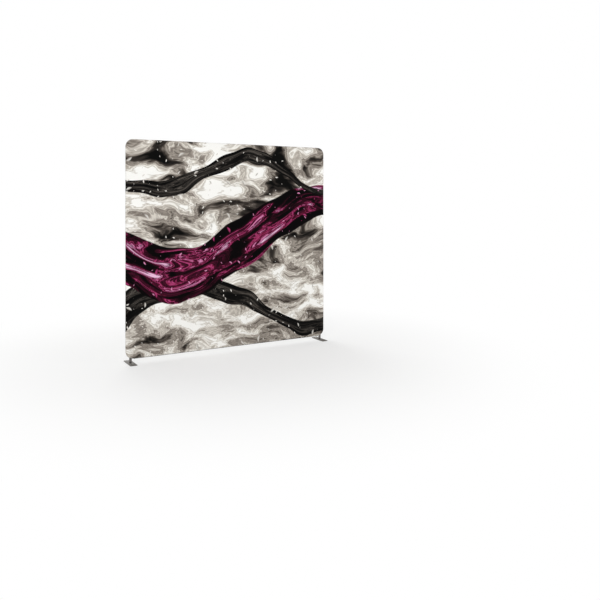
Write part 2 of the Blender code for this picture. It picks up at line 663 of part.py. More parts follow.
def zip_slider():
    """The slider: two blades joined by a web between the rows of teeth, and a bridge for the pull below."""
    half_length = SLIDER_LENGTH / 2
    place = Matrix.Translation((SLIDER_X, 0, 0))
    body = block("zip_slider", (-half_length, -BLADE_HALF_WIDTH, SLIDER_BOTTOM), (half_length, BLADE_HALF_WIDTH, BLADE_TOP),
                 place, KIT.plated_steel)
    soften(body, SLIDER_EDGE)
    run = half_length + OVERRUN
    lip_in = BLADE_HALF_WIDTH - LIP_WIDTH
    tape_half = TAPE_THICKNESS / 2 + LIP_TAPE_GAP
    for label, side in (("front", -1), ("back", 1)):
        near, far, out = side * WEB_HALF, side * lip_in, side * (BLADE_HALF_WIDTH + OVERRUN)
        channel = block(
            f"zip_{label}_channel", (-run, min(near, far), SLIDER_BOTTOM + BLADE_THICKNESS),
            (run, max(near, far), BLADE_TOP - BLADE_THICKNESS), place, cutter=True,
        )
        mouth = block(
            f"zip_{label}_mouth", (-run, min(near, out), TEETH_MIDDLE - tape_half),
            (run, max(near, out), TEETH_MIDDLE + tape_half), place, cutter=True,
        )
        cut(body, channel)
        cut(body, mouth)
    bridge = block(
        "zip_bridge", (-BRIDGE_HALF_LENGTH, -BRIDGE_HALF_WIDTH, SLIDER_BOTTOM - BRIDGE_HEIGHT),
        (BRIDGE_HALF_LENGTH, BRIDGE_HALF_WIDTH, SLIDER_BOTTOM + BLADE_THICKNESS / 2), place,
    )
    join(body, bridge)
    across = frame_at((SLIDER_X, 0, PULL_AXIS_Z), (0, 1, 0), (1, 0, 0))
    reach = BRIDGE_HALF_WIDTH + OVERRUN
    cut(body, rod_cutter("zip_bridge_hole", PULL_HOLE_RADIUS, -reach, reach, across, HOLE_SIDES))


def zip_pull():
    """The pull: a flat tab that hangs from a bar through the slider's bridge."""
    window = BRIDGE_HALF_WIDTH + PULL_SIDE_CLEARANCE
    half_width = window + PULL_ARM_WIDTH
    outline = [(half_width, PULL_BAR_HALF), (-half_width, PULL_BAR_HALF)]
    for step in range(PULL_END_SEGMENTS + 1):
        angle = math.pi + math.pi * step / PULL_END_SEGMENTS
        outline.append((half_width * math.cos(angle), half_width - PULL_LENGTH + half_width * math.sin(angle)))
    opening = [
        (-window, -PULL_BAR_HALF), (window, -PULL_BAR_HALF), (window, -PULL_WINDOW_REACH), (-window, -PULL_WINDOW_REACH),
    ]
    place = frame_at((SLIDER_X, 0, PULL_AXIS_Z), (1, 0, 0), (0, 1, 0))
    flat_piece("zip_pull", [outline, opening], PULL_BAR_HALF, place, KIT.plated_steel)


def build_cover():
    """The two panels, cut open for the zip and round the foot sockets, and the zip."""
    panels = (panel("front_panel", -1, KIT.print_cloth), panel("back_panel", 1, KIT.plain_cloth))
    slot = block(
        "zip_slot", (-ZIP_HALF - STACK_GAP, -ZIP_SLOT_HALF, FLOOR_GAP - OVERRUN),
        (ZIP_HALF + STACK_GAP, ZIP_SLOT_HALF, BOTTOM_Z), cutter=True,
    )
    radius = POST_RADIUS + COLLAR_HOLE_CLEARANCE
    openings = [slot]
    for label, side in (("left", -1), ("right", 1)):
        place = Matrix.Translation((side * FOOT_X, 0, 0))
        openings.append(rod_cutter(label + "_cover_hole", radius, COLLAR_BOTTOM, bend_height(), place, POST_SIDES))
    for sheet in panels:
        for opening in openings:
            cut(sheet, opening)
    zip_half("zip_front_half", -1)
    zip_half("zip_back_half", 1)
    zip_slider()
    zip_pull()


def main():
    """Builds the whole backwall."""
    rails = build_frame()
    for label, side in (("left", -1), ("right", 1)):
        socket(label, side, rails[side])
        foot(label, side)
    build_cover()


main()
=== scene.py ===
"""Looks of a free-standing fabric backwall: printed stretch cover, zip, tube frame and two flat feet.

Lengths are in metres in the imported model's frame: the wall stands along X, and its printed front faces -Y.
"""

import json
import logging
import math
from collections.abc import Iterable, Sequence
from dataclasses import dataclass
from enum import Enum
from functools import cached_property
from typing import ClassVar

import bmesh
import bpy
import numpy as np
from mathutils import Matrix, Vector

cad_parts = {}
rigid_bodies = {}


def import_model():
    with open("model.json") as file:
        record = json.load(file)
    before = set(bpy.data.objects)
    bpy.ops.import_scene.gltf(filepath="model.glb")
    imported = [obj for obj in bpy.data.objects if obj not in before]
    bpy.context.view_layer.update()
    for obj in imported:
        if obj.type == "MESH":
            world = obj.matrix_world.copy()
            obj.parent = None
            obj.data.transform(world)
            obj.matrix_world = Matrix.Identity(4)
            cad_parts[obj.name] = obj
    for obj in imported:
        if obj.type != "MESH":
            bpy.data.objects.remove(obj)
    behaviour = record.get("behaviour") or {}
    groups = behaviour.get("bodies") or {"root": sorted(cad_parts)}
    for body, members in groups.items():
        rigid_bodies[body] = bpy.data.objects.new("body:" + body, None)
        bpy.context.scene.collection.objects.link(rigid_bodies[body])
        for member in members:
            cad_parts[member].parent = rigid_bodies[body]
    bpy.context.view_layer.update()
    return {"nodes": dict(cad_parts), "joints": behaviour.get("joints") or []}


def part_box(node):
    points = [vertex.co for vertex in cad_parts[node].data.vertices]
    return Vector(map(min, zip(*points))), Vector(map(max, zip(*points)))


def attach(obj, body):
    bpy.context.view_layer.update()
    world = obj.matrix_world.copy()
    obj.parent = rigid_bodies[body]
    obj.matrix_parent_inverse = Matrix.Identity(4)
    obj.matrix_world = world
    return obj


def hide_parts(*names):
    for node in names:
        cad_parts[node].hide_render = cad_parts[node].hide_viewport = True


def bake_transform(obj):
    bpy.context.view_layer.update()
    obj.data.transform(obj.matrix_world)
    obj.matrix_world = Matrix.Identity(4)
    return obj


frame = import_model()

MM = 0.001
SAME_POINT = 0.002 * MM
LEAST_CORNER = 0.05 * MM
SHARP_ANGLE = math.radians(35)
FRAME_BODY = "covered_frame"
QUARTER = math.pi / 2
log = logging.getLogger("backwall")

Tree = bpy.types.NodeTree
Socket = bpy.types.NodeSocket
Piece = bpy.types.Object
Shell = tuple[Sequence[Sequence[float]], list[list[int]]]
Stops = tuple[tuple[float, str], ...]


class Half(Enum):
    """Two opposite halves of the wall, as the sign of an axis."""

    @property
    def label(self) -> str:
        """The half's name in piece names."""
        return self.name.lower()


class Side(Half):
    """The two ends of the wall, as the sign of X."""

    LEFT = -1
    RIGHT = 1


class Face(Half):
    """The two faces of the wall, as the sign of Y."""

    FRONT = -1
    BACK = 1


class Pattern(Enum):
    """What a surface's fine grain looks like, as the node that draws it."""

    CLOUDS = "TexNoise"
    CELLS = "TexVoronoi"


def linear(colour: str) -> tuple[float, float, float, float]:
    """Turns an sRGB hex colour into linear light.

    Args:
        colour: six hex digits after a hash sign.

    Returns:
        Red, green, blue and full alpha.
    """
    parts = [int(colour[i : i + 2], 16) / 255 for i in (1, 3, 5)]
    return (*(c / 12.92 if c <= 0.04045 else ((c + 0.055) / 1.055) ** 2.4 for c in parts), 1.0)


def add(tree: Tree, kind: str, *values: object, out: int | str = 0, stops: Stops = (),
        **named: object) -> Socket | None:
    """Adds one shader node with its settings and links.

    Args:
        tree: the node tree it goes in.
        kind: the node's type, without its ShaderNode prefix.
        values: its inputs in order, each a socket, a plain value, or None to leave it.
        out: the output to hand back.
        stops: positions and hex colours of a colour ramp.
        named: its settings, and its inputs by their names in lower case with underscores.

    Returns:
        The chosen output socket, or None from a node that ends the tree.
    """
    node = tree.nodes.new(f"ShaderNode{kind}")
    inputs = {socket.name.lower().replace(" ", "_") for socket in node.inputs}
    for name in [name for name in named if name not in inputs]:
        setattr(node, name, named.pop(name))
    shown = [socket for socket in node.inputs if socket.enabled]
    pairs = list(zip(shown, values))
    for name, value in named.items():
        pairs.append((next(s for s in shown if s.name.lower().replace(" ", "_") == name), value))
    for socket, value in pairs:
        if isinstance(value, Socket):
            tree.links.new(value, socket)
        elif value is not None:
            socket.default_value = value
    for i, (position, colour) in enumerate(stops):
        ramp = node.color_ramp.elements
        stop = ramp[i] if i < len(ramp) else ramp.new(1.0)
        stop.position, stop.color = position, linear(colour)
    return node.outputs[out] if node.outputs else None


def seen_rays(tree: Tree) -> Socket:
    """Tells rays that show a surface, straight or in metal or glass, from those that only light it.

    Args:
        tree: the node tree it goes in.

    Returns:
        1 for the rays that show it, and 0 for the others.
    """
    seen = add(tree, "LightPath", out="Is Camera Ray")
    for ray in ("Is Glossy Ray", "Is Transmission Ray"):
        seen = add(tree, "Math", seen, add(tree, "LightPath", out=ray), operation="ADD", use_clamp=True)
    return seen


class Finish:
    """A surface that pieces are dressed in. Its material is made once."""

    label: ClassVar[str]

    def surface(self, tree: Tree) -> Socket:
        """Builds the shader and hands back its output."""
        raise NotImplementedError

    def material(self) -> bpy.types.Material:
        """Hands back the finish's material, made on first use.

        Returns:
            The material.
        """
        made = bpy.data.materials.get(self.label)
        if made is None:
            made = bpy.data.materials.new(self.label)
            made.use_nodes = True
            made.node_tree.nodes.clear()
            add(made.node_tree, "OutputMaterial", self.surface(made.node_tree))
        return made


@dataclass(frozen=True)
class Knit(Finish):
    """Warp-knitted stretch polyester, bleached white: matt, with fine upright ribs and a soft sheen."""

    label: ClassVar[str] = "White stretch polyester knit"
    colour: str = "#F0EEEA"
    # Painted shade: the cloth is drawn a little greyer where the centre post lies behind it
    over_post: str = "#E9E7E2"
    post_half: float = 13 * MM
    post_blur: float = 9 * MM
    cloud: float = 0.7
    # The real ribs are 0.7 mm apart, too fine for a render, so they are drawn coarser
    rib: float = 2.2 * MM
    loop: float = 1.8 * MM
    loop_depth: float = 0.3
    relief: float = 0.5 * MM
    # Painted shade: the share of the colour left in the gaps between the loops
    gap_light: float = 0.84
    gap_height: float = 0.55
    # Creases left by the cover's folding for its bag, which stretching has nearly drawn out
    folds: tuple[float, float] = (0.292, 0.27156)
    fold_half: float = 5 * MM
    fold_relief: float = 0.9 * MM
    fold_fade: tuple[float, float] = (0.42, 0.62)
    strength: float = 0.6
    roughness: float = 0.88
    sheen: float = 0.08
    gloss: float = 0.25

    def cut(self, tree: Tree) -> tuple[Socket, Socket, Socket]:
        """Reads the place on the flat cut: all of it, across, and up."""
        place = add(tree, "Attribute", attribute_name="cut", out="Vector")
        return place, add(tree, "SeparateXYZ", place, out="X"), add(tree, "SeparateXYZ", place, out="Y")

    def weave(self, tree: Tree) -> Socket:
        """Draws the knitted loops.

        Args:
            tree: the node tree it goes in.

        Returns:
            Their height, from 0 in the gaps to 1 on the yarn.
        """
        _, across, up = self.cut(tree)
        column = add(tree, "Math", across, 1 / self.rib, operation="MULTIPLY")
        place = add(tree, "Math", add(tree, "Math", column, operation="FRACT"), 0.5, operation="SUBTRACT")
        lean = add(tree, "Math", place, operation="ABSOLUTE")
        ridge = add(tree, "Math", add(tree, "Math", lean, math.pi, operation="MULTIPLY"), operation="COSINE")
        row = add(tree, "Math", up, 1 / self.loop, lean, operation="MULTIPLY_ADD")
        row = add(tree, "Math", add(tree, "Math", row, math.tau, operation="MULTIPLY"), operation="SINE")
        row = add(tree, "Math", row, self.loop_depth, 1 - self.loop_depth, operation="MULTIPLY_ADD")
        return add(tree, "Math", ridge, row, operation="MULTIPLY")

    def creases(self, tree: Tree) -> Socket:
        """Draws the fold lines.

        Args:
            tree: the node tree it goes in.

        Returns:
            Their depth, from 0 to 1, fading in and out along each line.
        """
        place, *ways = self.cut(tree)
        lines = []
        for run, size in zip(ways, self.folds):
            turn = add(tree, "Math", run, size, operation="PINGPONG")
            near = add(tree, "Math", turn, size / 2, operation="SUBTRACT")
            near = add(tree, "Math", near, operation="ABSOLUTE")
            lines.append(add(tree, "MapRange", near, self.fold_half, 0.0, interpolation_type="SMOOTHSTEP"))
        fade = add(tree, "TexNoise", vector=place, scale=1 / self.folds[0], detail=1.0, noise_dimensions="2D")
        fade = add(tree, "MapRange", fade, *self.fold_fade)
        return add(tree, "Math", add(tree, "Math", *lines, operation="MAXIMUM"), fade, operation="MULTIPLY")

    def colours(self, tree: Tree) -> Socket:
        """Colours the plain cloth, with painted shade in a band over the centre post.

        Args:
            tree: the node tree it goes in.

        Returns:
            The colour.
        """
        place, across, _ = self.cut(tree)
        off = add(tree, "Math", across, operation="ABSOLUTE")
        # Painted shade: the band where the centre post lies behind the cloth
        post = add(tree, "MapRange", off, self.post_half + self.post_blur, self.post_half - self.post_blur,
                   interpolation_type="SMOOTHSTEP")
        cloud = add(tree, "TexNoise", vector=place, scale=1 / self.cloud, detail=2.0, noise_dimensions="2D")
        # Random tone clouds, plus the painted shade over the centre post
        share = add(tree, "Math", cloud, 0.5, post, operation="MULTIPLY_ADD", use_clamp=True)
        return add(tree, "Mix", share, linear(self.colour), linear(self.over_post), out=2, data_type="RGBA")

    def surface(self, tree: Tree) -> Socket:
        """Lays the cloth's colours over the knit's relief, with painted shade down between the loops.

        Args:
            tree: the node tree it goes in.

        Returns:
            The shader.
        """
        weave = self.weave(tree)
        # Painted shade: the colour darkens where the weave is low, between the loops
        light = add(tree, "MapRange", weave, 0.0, self.gap_height, self.gap_light, 1.0)
        tone = add(tree, "VectorMath", self.colours(tree), scale=light, operation="SCALE")
        bump = add(tree, "Bump", strength=self.strength, distance=self.relief, height=weave)
        bump = add(tree, "Bump", strength=self.strength, distance=self.fold_relief, height=self.creases(tree),
                   normal=bump, invert=True)
        return add(tree, "BsdfPrincipled", base_color=tone, roughness=self.roughness, normal=bump,
                   sheen_weight=self.sheen, sheen_roughness=0.5, specular_ior_level=self.gloss)


@dataclass(frozen=True)
class Ribbon:
    """A silky band that sways across the print, with folds that run along it in the colours of its stops."""

    stops: Stops
    middle: float
    sway: float
    length: float
    phase: float
    half: float
    swell: ClassVar[float] = 0.35
    swell_pace: ClassVar[float] = 0.6
    swell_phase: ClassVar[float] = 1.9
    core: ClassVar[float] = 0.965
    folds_along: ClassVar[float] = 1.5
    folds_across: ClassVar[float] = 1.9

    def draw(self, tree: Tree, place: Socket) -> tuple[Socket, Socket]:
        """Draws the band.

        Args:
            tree: the node tree it goes in.
            place: places on the print, as the currents have pushed them.

        Returns:
            Its colours and its mask.
        """
        u = add(tree, "SeparateXYZ", place, out="X")
        v = add(tree, "SeparateXYZ", place, out="Y")
        swing = add(tree, "Math", u, math.tau / self.length, self.phase, operation="MULTIPLY_ADD")
        lift = add(tree, "Math", swing, operation="SINE")
        lift = add(tree, "Math", lift, self.sway, self.middle, operation="MULTIPLY_ADD")
        width = add(tree, "Math", swing, self.swell_pace, self.swell_phase, operation="MULTIPLY_ADD")
        width = add(tree, "Math", width, operation="SINE")
        width = add(tree, "Math", width, self.swell * self.half, self.half, operation="MULTIPLY_ADD")
        across = add(tree, "Math", v, lift, operation="SUBTRACT")
        across = add(tree, "Math", across, width, operation="DIVIDE")
        depth = add(tree, "Math", across, operation="ABSOLUTE")
        mask = add(tree, "MapRange", depth, 1.0, self.core, interpolation_type="SMOOTHSTEP")
        along = add(tree, "Math", u, self.folds_along, operation="MULTIPLY")
        spread = add(tree, "Math", across, self.folds_across, operation="MULTIPLY")
        fold = add(tree, "TexNoise", vector=add(tree, "CombineXYZ", along, spread), scale=1.0, detail=7.0,
                   roughness=0.56, distortion=0.9, noise_dimensions="2D")
        return add(tree, "ValToRGB", fold, stops=self.stops, out="Color"), mask


@dataclass(frozen=True)
class Petals:
    """Petals strewn over the print, each turned its own way and shaded from a dark to a pale long side."""

    dark: str
    pale: str
    cell: float
    length: float
    slim: float
    share: float
    blur: float
    on_silk: bool = False
    # At 1, petals would lie so close to each other that some are cut off by their neighbour's place
    scatter: ClassVar[float] = 0.72
    smallest: ClassVar[float] = 0.05 * MM
    bend: ClassVar[float] = 0.35
    shaded: ClassVar[float] = 0.7

    def draw(self, tree: Tree, place: Socket) -> tuple[Socket, Socket]:
        """Draws the petals.

        Args:
            tree: the node tree it goes in.
            place: places on the print.

        Returns:
            Their colours and their mask.
        """
        cells = {"vector": place, "scale": 1 / self.cell, "randomness": self.scatter}
        middle = add(tree, "TexVoronoi", voronoi_dimensions="2D", out="Position", **cells)
        chance = add(tree, "TexVoronoi", voronoi_dimensions="2D", out="Color", **cells)
        away = add(tree, "VectorMath", place, middle, operation="SUBTRACT")
        angle = add(tree, "Math", add(tree, "SeparateXYZ", chance, out="Y"), math.tau, operation="MULTIPLY")
        turned = add(tree, "VectorRotate", vector=away, angle=angle, rotation_type="Z_AXIS")
        size = add(tree, "MapRange", add(tree, "SeparateXYZ", chance, out="X"), 1 - self.share, 1.0,
                   self.smallest, self.length)
        scaled = add(tree, "Math", 1.0, size, operation="DIVIDE")
        turned = add(tree, "VectorMath", turned, scale=scaled, operation="SCALE")
        along = add(tree, "SeparateXYZ", turned, out="X")
        bow = add(tree, "Math", along, along, operation="MULTIPLY")
        side = add(tree, "SeparateXYZ", turned, out="Y")
        side = add(tree, "Math", side, 1 / self.slim, operation="MULTIPLY")
        side = add(tree, "Math", bow, self.bend, side, operation="MULTIPLY_ADD")
        reach = add(tree, "Math", add(tree, "Math", side, operation="ABSOLUTE"), bow, operation="ADD")
        mask = add(tree, "MapRange", reach, 1.0, 1 - self.blur, interpolation_type="SMOOTHSTEP")
        across = add(tree, "MapRange", side, -self.shaded, self.shaded)
        return add(tree, "Mix", across, linear(self.dark), linear(self.pale), out=2, data_type="RGBA"), mask


@dataclass(frozen=True)
class PrintedKnit(Knit):
    """The same knit, dye-sublimated: the ink lies in the yarn, so the print is as matt as the cloth.

    The print is a generic one: inks poured in water, a warm grey marble crossed by silky ribbons of crimson
    and black, with petals strewn over it.
    """

    label: ClassVar[str] = "Dye-sublimated polyester knit"
    fold_relief: float = 0.15 * MM
    sheen: float = 0.01
    gloss: float = 0.05
    bend_size: float = 1.1
    bend_reach: float = 0.36
    curl_size: float = 0.34
    curl_reach: float = 0.15
    vein_long: float = 0.40
    vein_short: float = 0.16
    vein_tilt: float = math.radians(-24)
    # Veins are blurred above the first height and crisp below the second
    vein_heights: tuple[float, float] = (1.9, 0.5)
    crispness: tuple[float, float] = (0.47, 0.61)
    patch: float = 0.95
    patch_depth: float = 0.55
    patch_shift: float = -0.248
    marble: Stops = (
        (0.28, "#0A0A09"), (0.35, "#35302C"), (0.40, "#645C55"), (0.435, "#ABA399"), (0.455, "#776F67"),
        (0.485, "#A1988F"), (0.51, "#E3DDD3"), (0.53, "#A79F95"), (0.565, "#D5CEC4"), (0.595, "#FCFAF4"),
        (0.625, "#C9C2B8"), (0.66, "#FDFCF8"),
    )
    crimson_folds: ClassVar[Stops] = (
        (0.36, "#040304"), (0.47, "#070405"), (0.49, "#330C1B"), (0.50, "#0A0406"), (0.525, "#4A112A"),
        (0.54, "#0F0509"), (0.555, "#842246"), (0.566, "#C24A83"), (0.573, "#561630"), (0.60, "#12060B"),
        (0.618, "#98295A"), (0.63, "#E492C2"), (0.642, "#3E0E24"), (0.70, "#F0C0DF"),
    )
    black_folds: ClassVar[Stops] = (
        (0.38, "#060606"), (0.50, "#100F0E"), (0.545, "#3B3733"), (0.57, "#0C0B0B"), (0.61, "#5F5953"),
        (0.64, "#1D1B1A"),
    )
    low_ribbon: Ribbon = Ribbon(black_folds, middle=0.50, sway=0.30, length=3.1, phase=2.6, half=0.115)
    silk: Ribbon = Ribbon(crimson_folds, middle=1.30, sway=0.42, length=3.6, phase=-0.35, half=0.22)
    high_ribbon: Ribbon = Ribbon(black_folds, middle=2.02, sway=0.20, length=2.3, phase=0.9, half=0.065)
    strewn: tuple[Petals, ...] = (
        Petals("#8F867D", "#F6F4EE", cell=0.19, length=0.050, slim=0.42, share=0.55, blur=0.75),
        Petals("#CFC9C0", "#F8F6F1", cell=0.085, length=0.021, slim=0.38, share=0.5, blur=0.12),
        Petals("#5E1637", "#C2457F", cell=0.17, length=0.046, slim=0.44, share=0.6, blur=0.65, on_silk=True),
        Petals("#A23067", "#EDB0D6", cell=0.10, length=0.024, slim=0.38, share=0.55, blur=0.12, on_silk=True),
    )

    def drift(self, tree: Tree, place: Socket, size: float, reach: float) -> Socket:
        """Pushes places about, as currents push ink.

        Args:
            tree: the node tree it goes in.
            place: the places to push.
            size: the currents' size.
            reach: how far they push.

        Returns:
            The pushed places.
        """
        push = add(tree, "TexNoise", vector=place, scale=1 / size, detail=2.0, noise_dimensions="2D",
                   out="Color")
        push = add(tree, "VectorMath", push, (0.5, 0.5, 0.5), operation="SUBTRACT")
        return add(tree, "VectorMath", push, (reach, reach, 0.0), place, operation="MULTIPLY_ADD")

    def stone(self, tree: Tree, place: Socket) -> Socket:
        """Draws the marble ground: veins on patches of tone.

        Args:
            tree: the node tree it goes in.
            place: places on the print, as the currents have pushed them.

        Returns:
            Its colours.
        """
        _, _, up = self.cut(tree)
        grain = add(tree, "Mapping", vector=place, rotation=(0.0, 0.0, self.vein_tilt),
                    scale=(1 / self.vein_long, 1 / self.vein_short, 1.0))
        crisp = add(tree, "MapRange", up, *self.vein_heights, *self.crispness)
        veins = add(tree, "TexNoise", vector=grain, scale=1.0, detail=9.0, roughness=crisp, distortion=0.4,
                    noise_dimensions="2D")
        tone = add(tree, "TexNoise", vector=place, scale=1 / self.patch, detail=1.0, noise_dimensions="2D")
        tone = add(tree, "Math", tone, self.patch_depth, self.patch_shift, operation="MULTIPLY_ADD")
        value = add(tree, "Math", veins, tone, operation="ADD")
        return add(tree, "ValToRGB", value, stops=self.marble, out="Color")

    def colours(self, tree: Tree) -> Socket:
        """Lays the ribbons and petals over the marble.

        Args:
            tree: the node tree it goes in.

        Returns:
            The print's colour.
        """
        place, _, _ = self.cut(tree)
        bent = self.drift(tree, place, self.bend_size, self.bend_reach)
        shown = self.stone(tree, self.drift(tree, bent, self.curl_size, self.curl_reach))
        masks = {}
        for ribbon in (self.low_ribbon, self.silk, self.high_ribbon):
            folds, masks[ribbon] = ribbon.draw(tree, bent)
            shown = add(tree, "Mix", masks[ribbon], shown, folds, out=2, data_type="RGBA")
        on_silk = masks[self.silk]
        off_silk = add(tree, "Math", 1.0, on_silk, operation="SUBTRACT")
        for petals in self.strewn:
            tint, mask = petals.draw(tree, place)
            mask = add(tree, "Math", mask, on_silk if petals.on_silk else off_silk, operation="MULTIPLY")
            shown = add(tree, "Mix", mask, shown, tint, out=2, data_type="RGBA")
        return shown


@dataclass(frozen=True)
class Grained(Finish):
    """A surface of one colour, whose gleam and relief follow a fine grain."""

    pattern: ClassVar[Pattern] = Pattern.CLOUDS
    colour: str = "#808080"
    metallic: float = 0.0
    grain: float = 1.0 * MM
    detail: float = 3.0
    span: tuple[float, float] = (0.3, 0.7)
    roughness: tuple[float, float] = (0.3, 0.5)
    bump: float = 0.0
    relief: float = 0.05 * MM

    def surface(self, tree: Tree) -> Socket:
        """Lets the grain vary the roughness, and raise the surface where it has relief.

        Args:
            tree: the node tree it goes in.

        Returns:
            The shader.
        """
        place = add(tree, "TexCoord", out="Object")
        grain = add(tree, self.pattern.value, vector=place, scale=1 / self.grain, detail=self.detail)
        rough = add(tree, "MapRange", grain, *self.span, *self.roughness)
        raised = None
        if self.bump:
            raised = add(tree, "Bump", strength=self.bump, distance=self.relief, height=grain)
        return add(tree, "BsdfPrincipled", base_color=linear(self.colour), metallic=self.metallic,
                   roughness=rough, normal=raised)


@dataclass(frozen=True)
class AnodisedAluminium(Grained):
    """Extruded aluminium tube, satin anodised: pale grey metal with a blurred, slightly uneven gleam."""

    label: ClassVar[str] = "Satin anodised aluminium"
    colour: str = "#C4C5C6"
    metallic: float = 1.0
    # The etched grain is some 0.05 mm, drawn here at 1.5 mm
    grain: float = 1.5 * MM
    detail: float = 2.0
    roughness: tuple[float, float] = (0.30, 0.42)
    bump: float = 0.05


@dataclass(frozen=True)
class ZincPlate(Grained):
    """Zinc-plated steel of bolts and buttons: bright bluish metal, slightly cloudy."""

    label: ClassVar[str] = "Zinc-plated steel"
    colour: str = "#C9CBCD"
    metallic: float = 1.0
    grain: float = 3.0 * MM
    roughness: tuple[float, float] = (0.20, 0.34)


@dataclass(frozen=True)
class SpringSteel(Grained):
    """Cold-rolled spring strip: grey metal with a fine rolled grain that scatters its gleam."""

    label: ClassVar[str] = "Cold-rolled spring steel"
    colour: str = "#A9AAAC"
    metallic: float = 1.0
    grain: float = 0.4 * MM
    detail: float = 1.0
    roughness: tuple[float, float] = (0.24, 0.40)


@dataclass(frozen=True)
class NickelPlate(Grained):
    """Die-cast zinc, nickel plated: warm bright metal, dulled in spots where it is handled."""

    label: ClassVar[str] = "Nickel-plated zinc"
    colour: str = "#C8C2B8"
    metallic: float = 1.0
    grain: float = 2.5 * MM
    detail: float = 4.0
    span: tuple[float, float] = (0.4, 0.65)
    roughness: tuple[float, float] = (0.16, 0.32)


@dataclass(frozen=True)
class MouldedNylon(Grained):
    """Injection-moulded black nylon, spark-eroded: near black, evenly dull, with a fine grain."""

    label: ClassVar[str] = "Moulded black nylon"
    colour: str = "#232323"
    grain: float = 0.8 * MM
    detail: float = 2.0
    roughness: tuple[float, float] = (0.45, 0.6)
    bump: float = 0.2


@dataclass(frozen=True)
class CutRubber(Grained):
    """Black rubber sheet, die cut: matt, with a fine leathery print on it."""

    label: ClassVar[str] = "Black rubber sheet"
    pattern: ClassVar[Pattern] = Pattern.CELLS
    colour: str = "#1C1B1B"
    grain: float = 1.2 * MM
    detail: float = 0.0
    span: tuple[float, float] = (0.0, 0.8)
    roughness: tuple[float, float] = (0.85, 0.72)
    bump: float = 0.4
    relief: float = 0.1 * MM


@dataclass(frozen=True)
class DyedAluminium(Finish):
    """Turned aluminium, bead blasted and dyed grey in the anodising bath: dull warm-grey metal."""

    label: ClassVar[str] = "Grey dyed anodised aluminium"
    colour: str = "#6C6865"
    pale: str = "#767270"
    # The lathe's feed marks are 0.15 mm apart, drawn here at 0.6 mm
    feed: float = 0.6 * MM
    feed_relief: float = 0.03 * MM
    feed_strength: float = 0.12
    cloud: float = 9 * MM
    cloud_span: tuple[float, float] = (0.35, 0.65)
    roughness: tuple[float, float] = (0.36, 0.46)

    def surface(self, tree: Tree) -> Socket:
        """Lays faint level feed marks in metal whose dye is a little uneven.

        Args:
            tree: the node tree it goes in.

        Returns:
            The shader.
        """
        place = add(tree, "TexCoord", out="Object")
        up = add(tree, "SeparateXYZ", place, out="Z")
        mark = add(tree, "Math", up, math.tau / self.feed, operation="MULTIPLY")
        mark = add(tree, "Math", mark, operation="SINE")
        cloud = add(tree, "TexNoise", vector=place, scale=1 / self.cloud, detail=3.0)
        cloud = add(tree, "MapRange", cloud, *self.cloud_span)
        tone = add(tree, "Mix", cloud, linear(self.colour), linear(self.pale), out=2, data_type="RGBA")
        rough = add(tree, "MapRange", cloud, 0.0, 1.0, *self.roughness)
        bump = add(tree, "Bump", strength=self.feed_strength, distance=self.feed_relief, height=mark)
        return add(tree, "BsdfPrincipled", base_color=tone, metallic=1.0, roughness=rough, normal=bump)


@dataclass(frozen=True)
class PowderCoat(Finish):
    """Steel plate, powder coated warm grey: satin, with the low pebbled texture of baked powder."""

    label: ClassVar[str] = "Warm grey powder coat"
    colour: str = "#6E6A66"
    dust: str = "#76726D"
    scuff: str = "#8F8B86"
    # Orange peel of a baked coat, drawn twice its real 1 mm
    pebble: float = 2.0 * MM
    pebble_relief: float = 0.12 * MM
    pebble_strength: float = 0.25
    wear: float = 60 * MM
    wear_span: tuple[float, float] = (0.4, 0.7)
    edge: float = 1.2 * MM
    # How alike the rounded and the flat edge face where rubbing starts, and where it is full
    rub_span: tuple[float, float] = (0.995, 0.85)
    rub_grain: tuple[float, float] = (0.45, 0.62)
    roughness: tuple[float, float] = (0.62, 0.72)
    gloss: float = 0.25

    def surface(self, tree: Tree) -> Socket:
        """Dulls the paint in patches, as handling does, and rubs it paler along its edges.

        Args:
            tree: the node tree it goes in.

        Returns:
            The shader.
        """
        place = add(tree, "TexCoord", out="Object")
        pebble = add(tree, "TexNoise", vector=place, scale=1 / self.pebble, detail=1.0)
        cloud = add(tree, "TexNoise", vector=place, scale=1 / self.wear, detail=4.0)
        cloud = add(tree, "MapRange", cloud, *self.wear_span)
        tone = add(tree, "Mix", cloud, linear(self.colour), linear(self.dust), out=2, data_type="RGBA")
        round_edge = add(tree, "Bevel", radius=self.edge, samples=4)
        flat = add(tree, "NewGeometry", out="Normal")
        rub = add(tree, "VectorMath", round_edge, flat, operation="DOT_PRODUCT", out="Value")
        rub = add(tree, "MapRange", rub, *self.rub_span)
        rub = add(tree, "Math", rub, add(tree, "MapRange", pebble, *self.rub_grain), operation="MULTIPLY")
        tone = add(tree, "Mix", rub, tone, linear(self.scuff), out=2, data_type="RGBA")
        rough = add(tree, "MapRange", cloud, 0.0, 1.0, *self.roughness)
        bump = add(tree, "Bump", strength=self.pebble_strength, distance=self.pebble_relief, height=pebble)
        return add(tree, "BsdfPrincipled", base_color=tone, roughness=rough, specular_ior_level=self.gloss,
                   normal=bump)


